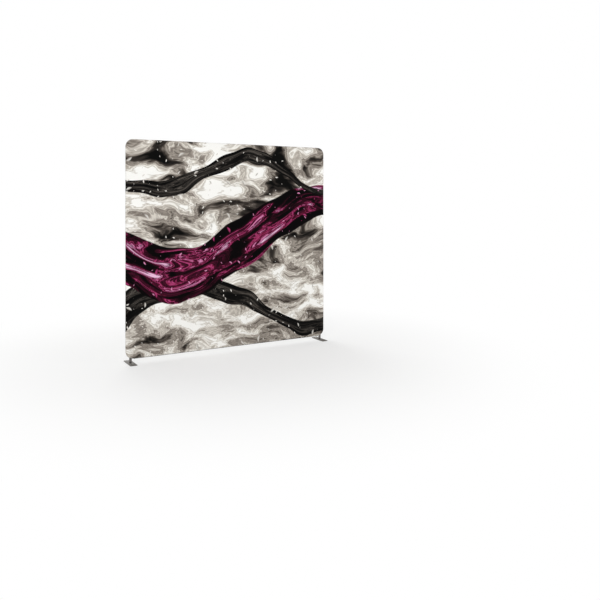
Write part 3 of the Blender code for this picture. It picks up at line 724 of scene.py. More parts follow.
@dataclass(frozen=True)
class WovenTape(Finish):
    """Herringbone polyester tape of the zip: black, matt, with a small upright weave."""

    label: ClassVar[str] = "Woven zip tape"
    colour: str = "#1D1D1E"
    light: str = "#2E2E30"
    thread: float = 0.8 * MM
    wander: float = 0.6
    relief: float = 0.1 * MM
    strength: float = 0.4
    roughness: float = 0.85
    sheen: float = 0.1

    def surface(self, tree: Tree) -> Socket:
        """Lays two tones of yarn over a rib.

        Args:
            tree: the node tree it goes in.

        Returns:
            The shader.
        """
        place = add(tree, "TexCoord", out="Object")
        rib = add(tree, "TexWave", vector=place, scale=1 / self.thread / math.tau, distortion=self.wander,
                  bands_direction="X", out="Fac")
        tone = add(tree, "Mix", rib, linear(self.colour), linear(self.light), out=2, data_type="RGBA")
        bump = add(tree, "Bump", strength=self.strength, distance=self.relief, height=rib)
        return add(tree, "BsdfPrincipled", base_color=tone, roughness=self.roughness,
                   sheen_weight=self.sheen, normal=bump)


@dataclass(frozen=True)
class Thread(Finish):
    """Spun polyester sewing thread: off-white, matt, with a twist."""

    label: ClassVar[str] = "White polyester thread"
    colour: str = "#E4E1DA"
    twist: float = 0.5 * MM
    relief: float = 0.05 * MM
    strength: float = 0.4
    roughness: float = 0.8

    def surface(self, tree: Tree) -> Socket:
        """Gives the yarn its twisted relief.

        Args:
            tree: the node tree it goes in.

        Returns:
            The shader.
        """
        place = add(tree, "TexCoord", out="Object")
        twist = add(tree, "TexWave", vector=place, scale=1 / self.twist / math.tau,
                    bands_direction="DIAGONAL", out="Fac")
        bump = add(tree, "Bump", strength=self.strength, distance=self.relief, height=twist)
        return add(tree, "BsdfPrincipled", base_color=linear(self.colour), roughness=self.roughness,
                   normal=bump)


@dataclass(frozen=True)
class StudioFloor(Finish):
    """Pale matt floor that fades to white away from the object, so that no edge of it shows."""

    label: ClassVar[str] = "Pale studio floor"
    colour: str = "#F4F4F3"
    base: float = 0.5
    near: float = 0.9
    far: float = 3.6

    def surface(self, tree: Tree) -> Socket:
        """Mixes a matt floor that keeps shadows into plain white with distance.

        Args:
            tree: the node tree it goes in.

        Returns:
            The shader.
        """
        place = add(tree, "TexCoord", out="Object")
        away = add(tree, "VectorMath", place, operation="LENGTH", out="Value")
        fade = add(tree, "MapRange", away, self.near, self.far, self.base, 1.0,
                   interpolation_type="SMOOTHSTEP")
        matt = add(tree, "BsdfDiffuse", color=linear(self.colour))
        white = add(tree, "Emission", color=linear("#FFFFFF"), strength=1.0)
        share = add(tree, "Math", fade, seen_rays(tree), operation="MULTIPLY")
        return add(tree, "MixShader", share, matt, white)


def linked(name: str, data: bpy.types.ID) -> Piece:
    """Makes an object and links it to the scene.

    Args:
        name: its name.
        data: the mesh, lamp or camera that it holds.

    Returns:
        The object.
    """
    made = bpy.data.objects.new(name, data)
    bpy.context.scene.collection.objects.link(made)
    return made


def shade(mesh: bpy.types.Mesh) -> None:
    """Shades a mesh smooth between its sharp edges."""
    mesh.shade_smooth()
    mesh.set_sharp_from_angle(angle=SHARP_ANGLE)


def mesh_piece(name: str, shell: Shell) -> Piece:
    """Makes a mesh object.

    Args:
        name: the piece's name.
        shell: its points in the row frame, and its faces' corners, counter-clockwise from outside.

    Returns:
        The new object, linked to the scene.
    """
    points, faces = shell
    mesh = bpy.data.meshes.new(name)
    mesh.from_pydata([tuple(map(float, point)) for point in points], [], faces)
    shade(mesh)
    return linked(name, mesh)


def joined(shells: Iterable[Shell]) -> Shell:
    """Gathers closed shells for one piece.

    Args:
        shells: each numbered from zero.

    Returns:
        All points and faces.
    """
    points, faces = [], []
    for its_points, its_faces in shells:
        faces += [[len(points) + corner for corner in face] for face in its_faces]
        points += list(its_points)
    return points, faces


def grid_faces(rows: int, columns: int, flipped: bool = False) -> list[list[int]]:
    """Numbers the faces of a grid whose points are listed row by row.

    Args:
        rows: its rows of points.
        columns: the points in each row.
        flipped: whether the faces turn the other way.

    Returns:
        The faces.
    """
    faces = []
    for row in range(rows - 1):
        for corner in range(row * columns, (row + 1) * columns - 1):
            quad = [corner, corner + 1, corner + columns + 1, corner + columns]
            faces.append(quad[::-1] if flipped else quad)
    return faces


def loft(rings: Sequence[np.ndarray], closed: bool = False) -> Shell:
    """Joins rings of as many points each, listed counter-clockwise as seen from the last one.

    Args:
        rings: arrays of points, from the lowest to the highest.
        closed: whether the last ring joins back to the first. The end rings get a face each if not.

    Returns:
        All points, and the faces with their normals outwards.
    """
    count, size = len(rings), len(rings[0])
    faces = []
    for k in range(count if closed else count - 1):
        low, high = k * size, (k + 1) % count * size
        for i in range(size):
            j = (i + 1) % size
            faces.append([low + i, low + j, high + j, high + i])
    if not closed:
        faces.append(list(reversed(range(size))))
        faces.append([(count - 1) * size + i for i in range(size)])
    return np.concatenate(rings), faces


def circle(radius: float, height: float, sides: int) -> np.ndarray:
    """Places points on a level circle about the Z axis."""
    turn = np.arange(sides) * math.tau / sides
    return np.stack([radius * np.cos(turn), radius * np.sin(turn), np.full(sides, height)], 1)


def rounded_plan(half_x: float, half_y: float, corner: float, inset: float, height: float,
                 steps: int = 6) -> np.ndarray:
    """Places points on a level rounded rectangle about the Z axis.

    Args:
        half_x: half its length along X.
        half_y: half its length along Y.
        corner: its corners' radius.
        inset: how far all of it is drawn in.
        height: its height.
        steps: the spans of each corner.

    Returns:
        The points, counter-clockwise from above.
    """
    reach = max(corner - inset, LEAST_CORNER)
    middle_x, middle_y = half_x - max(corner, inset), half_y - max(corner, inset)
    points = []
    for quarter, (sx, sy) in enumerate(((1, 1), (-1, 1), (-1, -1), (1, -1))):
        for step in range(steps + 1):
            turn = QUARTER * (quarter + step / steps)
            x, y = sx * middle_x + reach * math.cos(turn), sy * middle_y + reach * math.sin(turn)
            points.append((x, y, height))
    return np.array(points)


def rounded_levels(low: float, high: float, edge: float, steps: int = 3) -> list[tuple[float, float]]:
    """Lists insets and heights of a plate with rounded rims.

    Args:
        low: its underside.
        high: its top.
        edge: the rims' radius.
        steps: the spans of each rim.

    Returns:
        (inset, height) from the bottom up.
    """
    turns = [QUARTER * i / steps for i in range(steps + 1)]
    lower = [(edge * (1 - math.sin(t)), low + edge * (1 - math.cos(t))) for t in turns]
    return lower + [(inset, high + low - height) for inset, height in reversed(lower)]


def rod(path: Sequence[Sequence[float]], radii: Sequence[float], flat: Sequence[float], sides: int,
        wide: float = 1.0) -> Shell:
    """Runs a rod along a path that lies in one plane.

    Args:
        path: its middle's points.
        radii: its radius at each.
        flat: a direction square to the whole path.
        sides: the number of sides.
        wide: how much wider it is along that direction.

    Returns:
        Its points and faces.
    """
    middle = np.array(path, float)
    turns = math.tau * np.arange(sides) / sides
    rings = []
    for spot, way, radius in zip(middle, np.gradient(middle, axis=0), radii):
        other = np.cross(way / np.linalg.norm(way), flat)
        rings.append(spot + radius * (wide * np.outer(np.cos(turns), flat) + np.outer(np.sin(turns), other)))
    return loft(rings)


def thicken(piece: Piece, thickness: float, offset: float) -> None:
    """Gives an open surface its thickness, to its inside at -1 or to both sides at 0."""
    wall = piece.modifiers.new("Thickness", "SOLIDIFY")
    wall.thickness, wall.offset = thickness, offset


def soften(piece: Piece, radius: float) -> None:
    """Rounds a piece's sharp edges."""
    rounded = piece.modifiers.new("Rounded edges", "BEVEL")
    rounded.width, rounded.segments, rounded.limit_method = radius, 2, "ANGLE"


def carve(piece: Piece, shell: Shell) -> None:
    """Cuts a closed shape out of a piece for good.

    Args:
        piece: what is cut.
        shell: the cutter's points, in the piece's own space, and its faces.
    """
    cutter = mesh_piece("cutter", shell)
    change = piece.modifiers.new("Cut", "BOOLEAN")
    change.object, change.solver = cutter, "EXACT"
    bpy.context.view_layer.update()
    shape = bpy.data.meshes.new_from_object(piece.evaluated_get(bpy.context.evaluated_depsgraph_get()))
    piece.modifiers.remove(change)
    piece.data = shape
    bpy.data.objects.remove(cutter)
    tidy = bmesh.new()
    tidy.from_mesh(shape)
    bmesh.ops.remove_doubles(tidy, verts=tidy.verts, dist=SAME_POINT)
    tidy.to_mesh(shape)
    tidy.free()
    shade(shape)


def dress(piece: Piece, finish: Finish, body: str, slot: str, *nodes: str) -> Piece:
    """Gives a new piece its finish, and ties it to the CAD.

    Args:
        piece: the new object, in place.
        finish: what it is dressed in.
        body: the CAD body it rides on.
        slot: the record's material slot. Not used.
        nodes: the CAD nodes it stands for.

    Returns:
        The same object.
    """
    piece.data.materials.append(finish.material())
    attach(piece, body)
    if nodes:
        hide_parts(*nodes)
    log.info("%s: %s, rides on %s", piece.name, finish.label, body)
    return piece


@dataclass(frozen=True)
class Wall:
    """The covered wall's shape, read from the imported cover."""

    bend: float = 66 * MM
    zip_margin: float = 0.3 * MM
    collar_gap: float = 1.2 * MM

    @cached_property
    def low(self) -> Vector:
        """The front panel's lowest corner."""
        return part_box("front_panel")[0]

    @cached_property
    def high(self) -> Vector:
        """The front panel's highest corner."""
        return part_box("front_panel")[1]

    @cached_property
    def wrap(self) -> float:
        """The radius at which the cloth goes round the tubes, to its outside."""
        return -self.low.y

    @cached_property
    def side(self) -> float:
        """The side tubes' centreline."""
        return self.high.x - self.wrap

    @cached_property
    def rails(self) -> tuple[float, float]:
        """The heights of the two rails' centrelines."""
        return self.low.z + self.wrap, self.high.z - self.wrap

    @cached_property
    def middle(self) -> float:
        """The height half way between the rails."""
        return sum(self.rails) / 2

    @cached_property
    def half(self) -> float:
        """Half the distance between the rails."""
        return (self.rails[1] - self.rails[0]) / 2

    @cached_property
    def post(self) -> tuple[float, float]:
        """The right foot post's axis and the radius of the opening round its collar."""
        low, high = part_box("right_foot_socket")
        return (low.x + high.x) / 2, (high.x - low.x) / 2 + self.collar_gap

    @cached_property
    def zip_half(self) -> float:
        """Half the zip's length."""
        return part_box("zip_front_half")[1].x

    @cached_property
    def slot(self) -> float:
        """Half the width of the opening that the zip closes."""
        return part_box("zip_back_half")[1].y + self.zip_margin

    def underside(self, x: float, y: float, radius: float) -> float:
        """Finds the height of the cover's underside.

        Args:
            x: place along the wall.
            y: place across it.
            radius: the surface's distance from the tube's centreline.

        Returns:
            The height.
        """
        reach = math.sqrt(radius**2 - y**2)
        into = abs(x) - (self.side - self.bend)
        if into <= 0:
            return self.rails[0] - reach
        return self.rails[0] + self.bend - math.sqrt((self.bend + reach) ** 2 - into**2)

    def open_at(self, x: float, y: float, z: float) -> bool:
        """Tells where the cover is open, for the zip or round a collar.

        Args:
            x: place along the wall.
            y: place across it.
            z: height.

        Returns:
            True if it is open there.
        """
        axis, radius = self.post
        at_zip = abs(x) < self.zip_half + self.zip_margin and abs(y) < self.slot
        return z <= self.rails[0] and (at_zip or math.hypot(abs(x) - axis, y) < radius)


@dataclass
class Panel:
    """One knitted half of the cover: a taut face that rolls over the tubes to the seam along their middle."""

    wall: Wall
    face: Face
    finish: Finish
    slot: str
    # The cloth sinks a little between the tubes that it is stretched over
    sink: float = 2.2 * MM
    sink_shape: float = 0.7
    # Creases fan out of each corner
    crease: float = 0.7 * MM
    crease_reach: float = 0.11
    creases: int = 9
    seam_dip: float = 0.7 * MM
    seam_width: float = 2.6 * MM
    seam_gap: float = 0.15 * MM
    # The seam gathers a little as it goes round each corner
    gather: float = 0.55 * MM
    gather_length: float = 13 * MM
    gather_reach: float = 20 * MM
    thickness: float = 0.5 * MM
    cell: float = 33 * MM
    corner_cells: int = 20
    end_cells: int = 4
    wrap_steps: int = 10
    halvings: int = 24

    def stations(self, half: float, breaks: Sequence[float]) -> np.ndarray:
        """Spaces grid lines evenly between fixed places, mirrored about zero.

        Args:
            half: the outermost line.
            breaks: fixed places between zero and it, with the corner's start last.

        Returns:
            All places, from -half to half.
        """
        places = [0.0]
        for stop in breaks:
            spans = max(self.end_cells, round((stop - places[-1]) / self.cell))
            places += list(np.linspace(places[-1], stop, spans + 1)[1:])
        places += list(np.linspace(places[-1], half, self.corner_cells + 1)[1:])
        right = np.array(places)
        return np.concatenate([-right[:0:-1], right])

    def grid(self) -> tuple[np.ndarray, np.ndarray]:
        """Spreads a grid over the taut face, with its corners pushed in to the bends.

        Returns:
            Places along the wall, and heights above its middle.
        """
        wall, half = self.wall, self.wall.half
        grid_x, grid_z = np.meshgrid(
            self.stations(wall.side, (wall.zip_half + wall.zip_margin, wall.side - wall.bend)),
            self.stations(half, (half - wall.bend,)))
        a = (np.abs(grid_x) - (wall.side - wall.bend)) / wall.bend
        b = (np.abs(grid_z) - (half - wall.bend)) / wall.bend
        corner = (a > 0) & (b > 0)
        pull = np.maximum(a, b) / np.where(corner, np.hypot(a, b), 1)
        return (np.where(corner, np.sign(grid_x) * (wall.side + wall.bend * (a * pull - 1)), grid_x),
                np.where(corner, np.sign(grid_z) * (half + wall.bend * (b * pull - 1)), grid_z))

    def relief(self, x: np.ndarray, z: np.ndarray) -> np.ndarray:
        """Works out how far the taut face lies inside the plane of the tubes' fronts.

        Args:
            x: places along the wall.
            z: heights above the wall's middle.

        Returns:
            The depths.
        """
        across = np.abs(np.sin(np.pi * np.clip(x / self.wall.side, -1, 1)))
        upright = np.sqrt(np.clip(1 - (z / self.wall.half) ** 2, 0, 1))
        depth = self.sink * across**self.sink_shape * upright
        corner_x, corner_z = self.wall.side - self.wall.bend, self.wall.half - self.wall.bend
        away = np.hypot(np.abs(x) - corner_x, np.abs(z) - corner_z)
        turn = np.arctan2(np.abs(z) - corner_z, np.abs(x) - corner_x)
        inner = np.clip(away / self.crease_reach, 0, 1) * np.exp(-away / self.crease_reach)
        return depth + self.crease * inner * (0.5 + 0.5 * np.cos(self.creases * turn)) * upright

    def opens(self, place: np.ndarray, out: np.ndarray, turn: float) -> bool:
        """True if the cloth at this angle round the tube would lie in an opening."""
        x, z = place + out * self.wall.wrap * math.sin(turn)
        return self.wall.open_at(x, self.wall.wrap * math.cos(turn), z)

    def last_turn(self, place: np.ndarray, out: np.ndarray) -> float:
        """Finds how far round the tube the cloth goes before an opening or the seam stops it.

        Args:
            place: a point of the inner outline, as x and z.
            out: the outline's outward direction there.

        Returns:
            The angle from the face.
        """
        low, high = 0.0, QUARTER
        if not self.opens(place, out, high):
            return high
        for _ in range(self.halvings):
            middle = (low + high) / 2
            low, high = (low, middle) if self.opens(place, out, middle) else (middle, high)
        return low

    def drawn_in(self, out: np.ndarray, left: float) -> float:
        """Works out how far the cloth is drawn in near the seam.

        Args:
            out: the outline's outward direction.
            left: the distance along the cloth to the seam.

        Returns:
            The depth.
        """
        dip = self.seam_dip * max(0.0, 1 - left / self.seam_width) ** 2
        round_corner = 2 * abs(out[0] * out[1])
        along = math.atan2(abs(out[1]), abs(out[0])) * (self.wall.bend + self.wall.wrap)
        wave = (1 - math.cos(math.tau * along / self.gather_length)) / 2
        return dip + self.gather * round_corner * wave * max(0.0, 1 - left / self.gather_reach) ** 2

    def build(self, sewn: list[Piece]) -> None:
        """Args:
            sewn: the pieces that are sewn to it. Not used.
        """
        wall, sign = self.wall, self.face.value
        grid_x, grid_z = self.grid()
        rows, columns = grid_x.shape
        depth, heights = self.relief(grid_x, grid_z), grid_z + wall.middle
        spare = np.minimum(wall.side - np.abs(grid_x), wall.half - np.abs(grid_z)) + wall.wrap * QUARTER
        points = list(np.stack([grid_x, sign * (wall.wrap - depth), heights], 2).reshape(-1, 3))
        cut = list(np.stack([grid_x, heights, spare], 2).reshape(-1, 3))
        faces = grid_faces(rows, columns)
        loop = [(0, c) for c in range(columns - 1)] + [(r, columns - 1) for r in range(rows - 1)]
        loop += [(rows - 1, c) for c in range(columns - 1, 0, -1)] + [(r, 0) for r in range(rows - 1, 0, -1)]
        rim = []
        for r, c in loop:
            x, z = grid_x[r, c], grid_z[r, c]
            place = np.array([x, heights[r, c]])
            inward = np.array([np.sign(x) * min(abs(x), wall.side - wall.bend),
                               wall.middle + np.sign(z) * min(abs(z), wall.half - wall.bend)])
            out = (place - inward) / np.linalg.norm(place - inward)
            rim.append((place, out, self.last_turn(place, out)))
        before = [r * columns + c for r, c in loop]
        for step in range(1, self.wrap_steps + 1):
            ring = [len(points) + i for i in range(len(rim))]
            for place, out, last in rim:
                turn = last * step / self.wrap_steps
                left = wall.wrap * (QUARTER - turn)
                reach = wall.wrap - self.drawn_in(out, left)
                x, z = place + out * reach * math.sin(turn)
                points.append((x, sign * max(reach * math.cos(turn), self.seam_gap), z))
                cut.append((*(place + out * wall.wrap * turn), left))
            for i, now in enumerate(ring):
                after = (i + 1) % len(ring)
                faces.append([before[i], now, ring[after], before[after]])
            before = ring
        if self.face is Face.BACK:
            faces = [face[::-1] for face in faces]
        cloth = mesh_piece(f"{self.face.label}_cloth", (points, faces))
        layer = cloth.data.attributes.new("cut", "FLOAT_VECTOR", "POINT")
        layer.data.foreach_set("vector", np.array(cut, np.float32).ravel())
        thicken(cloth, self.thickness, -1.0)
        dress(cloth, self.finish, FRAME_BODY, self.slot, f"{self.face.label}_panel")


@dataclass(frozen=True)
class Stitch:
    """A lockstitch in sewing thread, and its distance to the next one."""

    length: float = 3.2 * MM
    pitch: float = 4.6 * MM
    radius: float = 0.26 * MM
    sides: int = 6
    # Each point's share of half the length, then its lift off the cloth and thickness as shares of the radius
    bow_shares: ClassVar[tuple[tuple[float, float, float], ...]] = (
        (-1.0, -0.6, 0.35), (-0.75, 0.25, 0.9), (0.0, 0.5, 1.0), (0.75, 0.25, 0.9), (1.0, -0.6, 0.35))

    def sewn(self, spot: np.ndarray, along: np.ndarray, out: np.ndarray) -> Shell:
        """Sews one stitch.

        Args:
            spot: its middle, on the cloth.
            along: its direction.
            out: the way out of the cloth.

        Returns:
            The stitch.
        """
        path = [spot + along * share * self.length / 2 + out * lift * self.radius
                for share, lift, _ in self.bow_shares]
        radii = [self.radius * thick for _, _, thick in self.bow_shares]
        return rod(path, radii, np.cross(along, out), self.sides)


@dataclass
class ZipHalf:
    """One side of the zip: its woven tape, its moulded teeth, and the stitches that hold it to the cloth."""

    wall: Wall
    face: Face
    stitch: Stitch = Stitch()
    stitch_inset: float = 2.0 * MM
    pitch: float = 2.6 * MM
    root: float = 0.55 * MM
    neck: float = 0.42 * MM
    head: float = 0.70 * MM
    nose: float = 0.385 * MM
    nose_length: float = 0.4 * MM
    head_length: float = 1.7 * MM
    past_middle: float = 0.70 * MM
    width: float = 2.4 * MM
    height: float = 2.2 * MM
    rim: float = 0.25 * MM
    tape_thickness: float = 0.6 * MM
    tape_overlap: float = 0.3 * MM
    flat_to: float = 5.2 * MM
    span_teeth: int = 4

    @cached_property
    def box(self) -> tuple[Vector, Vector]:
        """The lowest and highest corner of this side of the zip."""
        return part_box(f"zip_{self.face.label}_half")

    @cached_property
    def reach(self) -> list[float]:
        """How far from the wall's middle this side of the zip starts and ends."""
        return sorted(abs(corner.y) for corner in self.box)

    def tape(self) -> Piece:
        """Builds the tape, from its teeth up to the cloth's edge.

        Returns:
            The tape.
        """
        low, high = self.box
        teeth = low.z + self.height / 2
        path = ((self.reach[0] + self.width - self.tape_overlap, teeth), (self.flat_to, teeth),
                (self.reach[1], high.z - self.tape_thickness / 2))
        spans = int(2 * high.x / self.pitch / self.span_teeth)
        points = [(low.x + (high.x - low.x) * i / spans, self.face.value * y, z)
                  for i in range(spans + 1) for y, z in path]
        faces = grid_faces(spans + 1, len(path), flipped=self.face is Face.FRONT)
        made = mesh_piece(f"zip_{self.face.label}_tape", (points, faces))
        thicken(made, self.tape_thickness, 0.0)
        return dress(made, WovenTape(), FRAME_BODY, "zip_tape")

    def teeth(self) -> Piece:
        """Builds the row of moulded teeth, whose heads lie in the other row's gaps.

        Returns:
            All the row's teeth, as one piece.
        """
        low, high = self.box
        tip, sign = -self.past_middle, self.face.value
        half_plan = [(self.nose, tip), (self.head, tip + self.nose_length),
                     (self.neck, tip + self.head_length), (self.root, self.reach[0] + self.width)]
        plan = [(-x, y) for x, y in reversed(half_plan)] + half_plan
        count = int((high.x - low.x - 2 * self.head) / self.pitch)
        start = -count * self.pitch / 2 + (self.pitch / 2 if self.face is Face.BACK else 0.0)
        levels = ((self.rim, 0.0), (0.0, self.rim), (0.0, self.height - self.rim), (self.rim, self.height))
        shells = []
        for i in range(count):
            middle = start + i * self.pitch
            rings = []
            for inset, z in levels:
                shrink = 1 - inset / self.head
                ring = [(middle + x * shrink, sign * (y + math.copysign(inset, -y)), low.z + z)
                        for x, y in plan]
                rings.append(np.array(ring[::sign]))
            shells.append(loft(rings))
        made = mesh_piece(f"zip_{self.face.label}_teeth", joined(shells))
        return dress(made, MouldedNylon(), FRAME_BODY, "zip_tape", f"zip_{self.face.label}_half")

    def stitches(self) -> Piece:
        """Sews the tape to the cloth with a row of lockstitches.

        Returns:
            All the row's stitches, as one piece.
        """
        y = self.wall.slot + self.stitch_inset
        z = self.wall.underside(0.0, y, self.wall.wrap)
        lean = math.atan2(y, self.wall.rails[0] - z)
        out = np.array([0.0, self.face.value * math.sin(lean), -math.cos(lean)])
        count = int(2 * self.wall.zip_half / self.stitch.pitch) - 2
        places = [(i - (count - 1) / 2) * self.stitch.pitch for i in range(count)]
        shells = [self.stitch.sewn(np.array([x, self.face.value * y, z]), np.array([1.0, 0.0, 0.0]), out)
                  for x in places]
        made = mesh_piece(f"zip_{self.face.label}_stitches", joined(shells))
        return dress(made, Thread(), FRAME_BODY, "plain_polyester")

    def build(self) -> list[Piece]:
        """Builds this side of the zip and hands back its pieces."""
        return [self.tape(), self.teeth(), self.stitches()]


@dataclass
class ZipTab:
    """The tab of folded cloth that is sewn over one end of the tapes."""

    wall: Wall
    side: Side
    stitch: Stitch = Stitch()
    stitch_inset: float = 1.6 * MM
    over_zip: float = 2.2 * MM
    length: float = 15 * MM
    half: float = 14 * MM
    flat: float = 5.6 * MM
    slope: float = 5.5 * MM
    thickness: float = 0.7 * MM
    clear: float = 0.84 * MM
    # The bulge over the teeth ends after the first share of the length and falls off over the second
    bulge_shares: tuple[float, float] = (0.25, 0.55)
    fold: float = 0.3 * MM
    feel: float = 1 * MM
    across: int = 28
    steps: int = 14

    @cached_property
    def start(self) -> float:
        """Where the tab begins, from the wall's middle."""
        return self.wall.zip_half - self.over_zip

    @cached_property
    def lowest(self) -> float:
        """How low the tab's outer face may reach, just clear of the slider's way."""
        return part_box("zip_front_half")[0].z - self.clear

    def outside(self, x: float, y: float) -> float:
        """Finds the height of the outer face, which bulges over the teeth and lies on the cloth elsewhere.

        Args:
            x: place along the wall, from its middle out.
            y: place across it.

        Returns:
            The height.
        """
        cloth = self.wall.underside(x, y, self.wall.wrap + self.thickness)
        ends, falls = self.bulge_shares
        off = ((x - self.start) / self.length - ends) / falls, (abs(y) - self.flat) / self.slope
        bulge = math.prod(1 - t * t * (3 - 2 * t) for t in (min(max(share, 0.0), 1.0) for share in off))
        return cloth + bulge * min(self.lowest - cloth, 0.0)

    def build(self) -> list[Piece]:
        """Builds the tab.

        Returns:
            The tab and its stitches.
        """
        points = []
        for i in range(self.steps + 1):
            x = self.start + self.length * i / self.steps
            for j in range(self.across + 1):
                y = self.half * (2 * j / self.across - 1)
                points.append((self.side.value * x, y, self.outside(x, y)))
        faces = grid_faces(self.steps + 1, self.across + 1, flipped=self.side is Side.LEFT)
        tab = mesh_piece(f"{self.side.label}_zip_tab", (points, faces))
        thicken(tab, self.thickness, -1.0)
        soften(tab, self.fold)
        rows = int(2 * (self.half - self.stitch_inset) / self.stitch.pitch)
        shells = []
        for x in (self.start + self.stitch_inset, self.start + self.length - self.stitch_inset):
            for j in range(rows + 1):
                y = (j - rows / 2) * self.stitch.pitch
                rise = (self.outside(x, y + self.feel) - self.outside(x, y - self.feel)) / (2 * self.feel)
                along = np.array([0.0, 1.0, rise]) / math.hypot(1.0, rise)
                spot = np.array([self.side.value * x, y, self.outside(x, y)])
                shells.append(self.stitch.sewn(spot, along, np.array([0.0, 0.0, -1.0])))
        stitches = mesh_piece(f"{self.side.label}_zip_tab_stitches", joined(shells))
        return [dress(tab, WovenTape(), FRAME_BODY, "zip_tape"),
                dress(stitches, Thread(), FRAME_BODY, "plain_polyester")]


@dataclass
class Slider:
    """The zip's slider: two shield-shaped blades with guiding lips, and an arched bridge for the pull."""

    body: float = 5.0 * MM
    blade: float = 1.0 * MM
    rim: float = 0.35 * MM
    corner: float = 2.2 * MM
    waist: float = 0.16
    lip: float = 0.8 * MM
    lip_corner: float = 0.35 * MM
    lip_rise: float = 0.784 * MM
    lip_steps: int = 3
    # A lip's half length and shift are shares of the slider's half length, and its inset of its own width
    lip_length_share: float = 0.62
    lip_shift_share: float = 0.16
    lip_inset_share: float = 0.55
    lip_root: float = 0.4 * MM
    bridge_radius: float = 0.46 * MM
    bridge_wide: float = 1.7
    bridge_half: float = 2.76 * MM
    bridge_shape: float = 0.6
    bridge_spans: int = 14
    bridge_sides: int = 16

    def shield(self, half_x: float, half_y: float, inset: float, z: float) -> np.ndarray:
        """Draws a blade's level outline, waisted towards the closed end.

        Args:
            half_x: half its length.
            half_y: half its width.
            inset: how far all of it is drawn in.
            z: its height.

        Returns:
            The points about the slider's middle.
        """
        ring = rounded_plan(half_x, half_y, self.corner, inset, z)
        ring[:, 1] *= 1 - self.waist * np.clip(-ring[:, 0] / half_x, 0, 1) ** 2
        return ring

    def build(self) -> None:
        """Builds and dresses the slider."""
        low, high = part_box("zip_slider")
        half_x, half_y = (high.x - low.x) / 2, (high.y - low.y) / 2
        bottom = high.z - self.body
        middle = np.array([(low.x + high.x) / 2, 0.0, 0.0])
        shells = []
        for base in (bottom, high.z - self.blade):
            levels = rounded_levels(base, base + self.blade, self.rim)
            shells.append(loft([self.shield(half_x, half_y, inset, z) + middle for inset, z in levels]))
        lip = rounded_plan(self.lip_length_share * half_x, self.lip / 2, self.lip_corner, 0.0, 0.0,
                           self.lip_steps)
        lip_height = self.lip_rise + self.lip_root
        for y in (-1, 1):
            inset = half_y - self.lip_inset_share * self.lip
            shift = middle + (self.lip_shift_share * half_x, y * inset, 0.0)
            for base in (bottom + self.blade - self.lip_root, high.z - self.blade - self.lip_rise):
                shells.append(loft([lip + shift + (0, 0, z) for z in (base, base + lip_height)]))
        turns = [math.pi * i / self.bridge_spans for i in range(self.bridge_spans + 1)]
        arch = [middle + (-self.bridge_half * math.cos(t), 0.0, bottom + self.bridge_radius
                          - (bottom - low.z) * math.sin(t) ** self.bridge_shape) for t in turns]
        shells.append(rod(arch, [self.bridge_radius] * len(arch), (0.0, 1.0, 0.0), self.bridge_sides,
                          self.bridge_wide))
        dress(mesh_piece("zip_slider_shown", joined(shells)), NickelPlate(), "slider", "nickel_plated_zinc",
              "zip_slider")


@dataclass
class Pull:
    """The slider's pull: a rounded tab with a window at its top, sunk faces and a hole near its end."""

    rim: float = 0.35 * MM
    round_share: float = 0.96
    window: tuple[float, float] = (1.2 * MM, 1.9 * MM)
    window_corner: float = 0.5 * MM
    window_drop: float = 3.15 * MM
    hole: float = 1.1 * MM
    hole_rise: float = 2.6 * MM
    sunk: float = 0.25 * MM
    border: float = 0.8 * MM
    end_border: float = 5.4 * MM
    sunk_corner: float = 1.4 * MM
    sunk_drop: float = 0.3 * MM
    overrun: float = 0.1 * MM
    steps: int = 10
    sunk_steps: int = 8
    hole_sides: int = 32

    def build(self) -> None:
        """Builds the pull lying flat, turns it upright and dresses it."""
        low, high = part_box("zip_pull")
        middle = (low + high) / 2
        thick, width, length = (high - low) / 2
        levels = rounded_levels(-thick, thick, self.rim)
        piece = mesh_piece("zip_pull_shown", loft([
            rounded_plan(width, length, self.round_share * width, inset, z, self.steps)
            for inset, z in levels]))
        through = (-2 * thick, 2 * thick)
        carve(piece, loft([rounded_plan(*self.window, self.window_corner, 0.0, z)
                           + (0, length - self.window_drop, 0) for z in through]))
        carve(piece, loft([circle(self.hole, z, self.hole_sides) + (0, self.hole_rise - length, 0)
                           for z in through]))
        for skin in ((-thick - self.overrun, self.sunk - thick), (thick - self.sunk, thick + self.overrun)):
            carve(piece, loft([
                rounded_plan(width - self.border, length - self.end_border, self.sunk_corner, 0.0, z,
                             self.sunk_steps) + (0, -self.sunk_drop, 0) for z in skin]))
        upright = Matrix(((0, 0, 1, middle.x), (1, 0, 0, middle.y), (0, 1, 0, middle.z), (0, 0, 0, 1)))
        piece.data.transform(upright)
        dress(piece, NickelPlate(), "pull", "nickel_plated_zinc", "zip_pull")


@dataclass
class Zip:
    """The zip under the wall: two toothed halves, a sewn tab at each end, and a slider with its pull."""

    wall: Wall

    def build(self) -> dict[Face, list[Piece]]:
        """Builds the zip.

        Returns:
            The pieces sewn to each panel.
        """
        sewn = {face: ZipHalf(self.wall, face).build() for face in Face}
        for side in Side:
            sewn[Face.BACK] += ZipTab(self.wall, side).build()
        Slider().build()
        Pull().build()
        return sewn


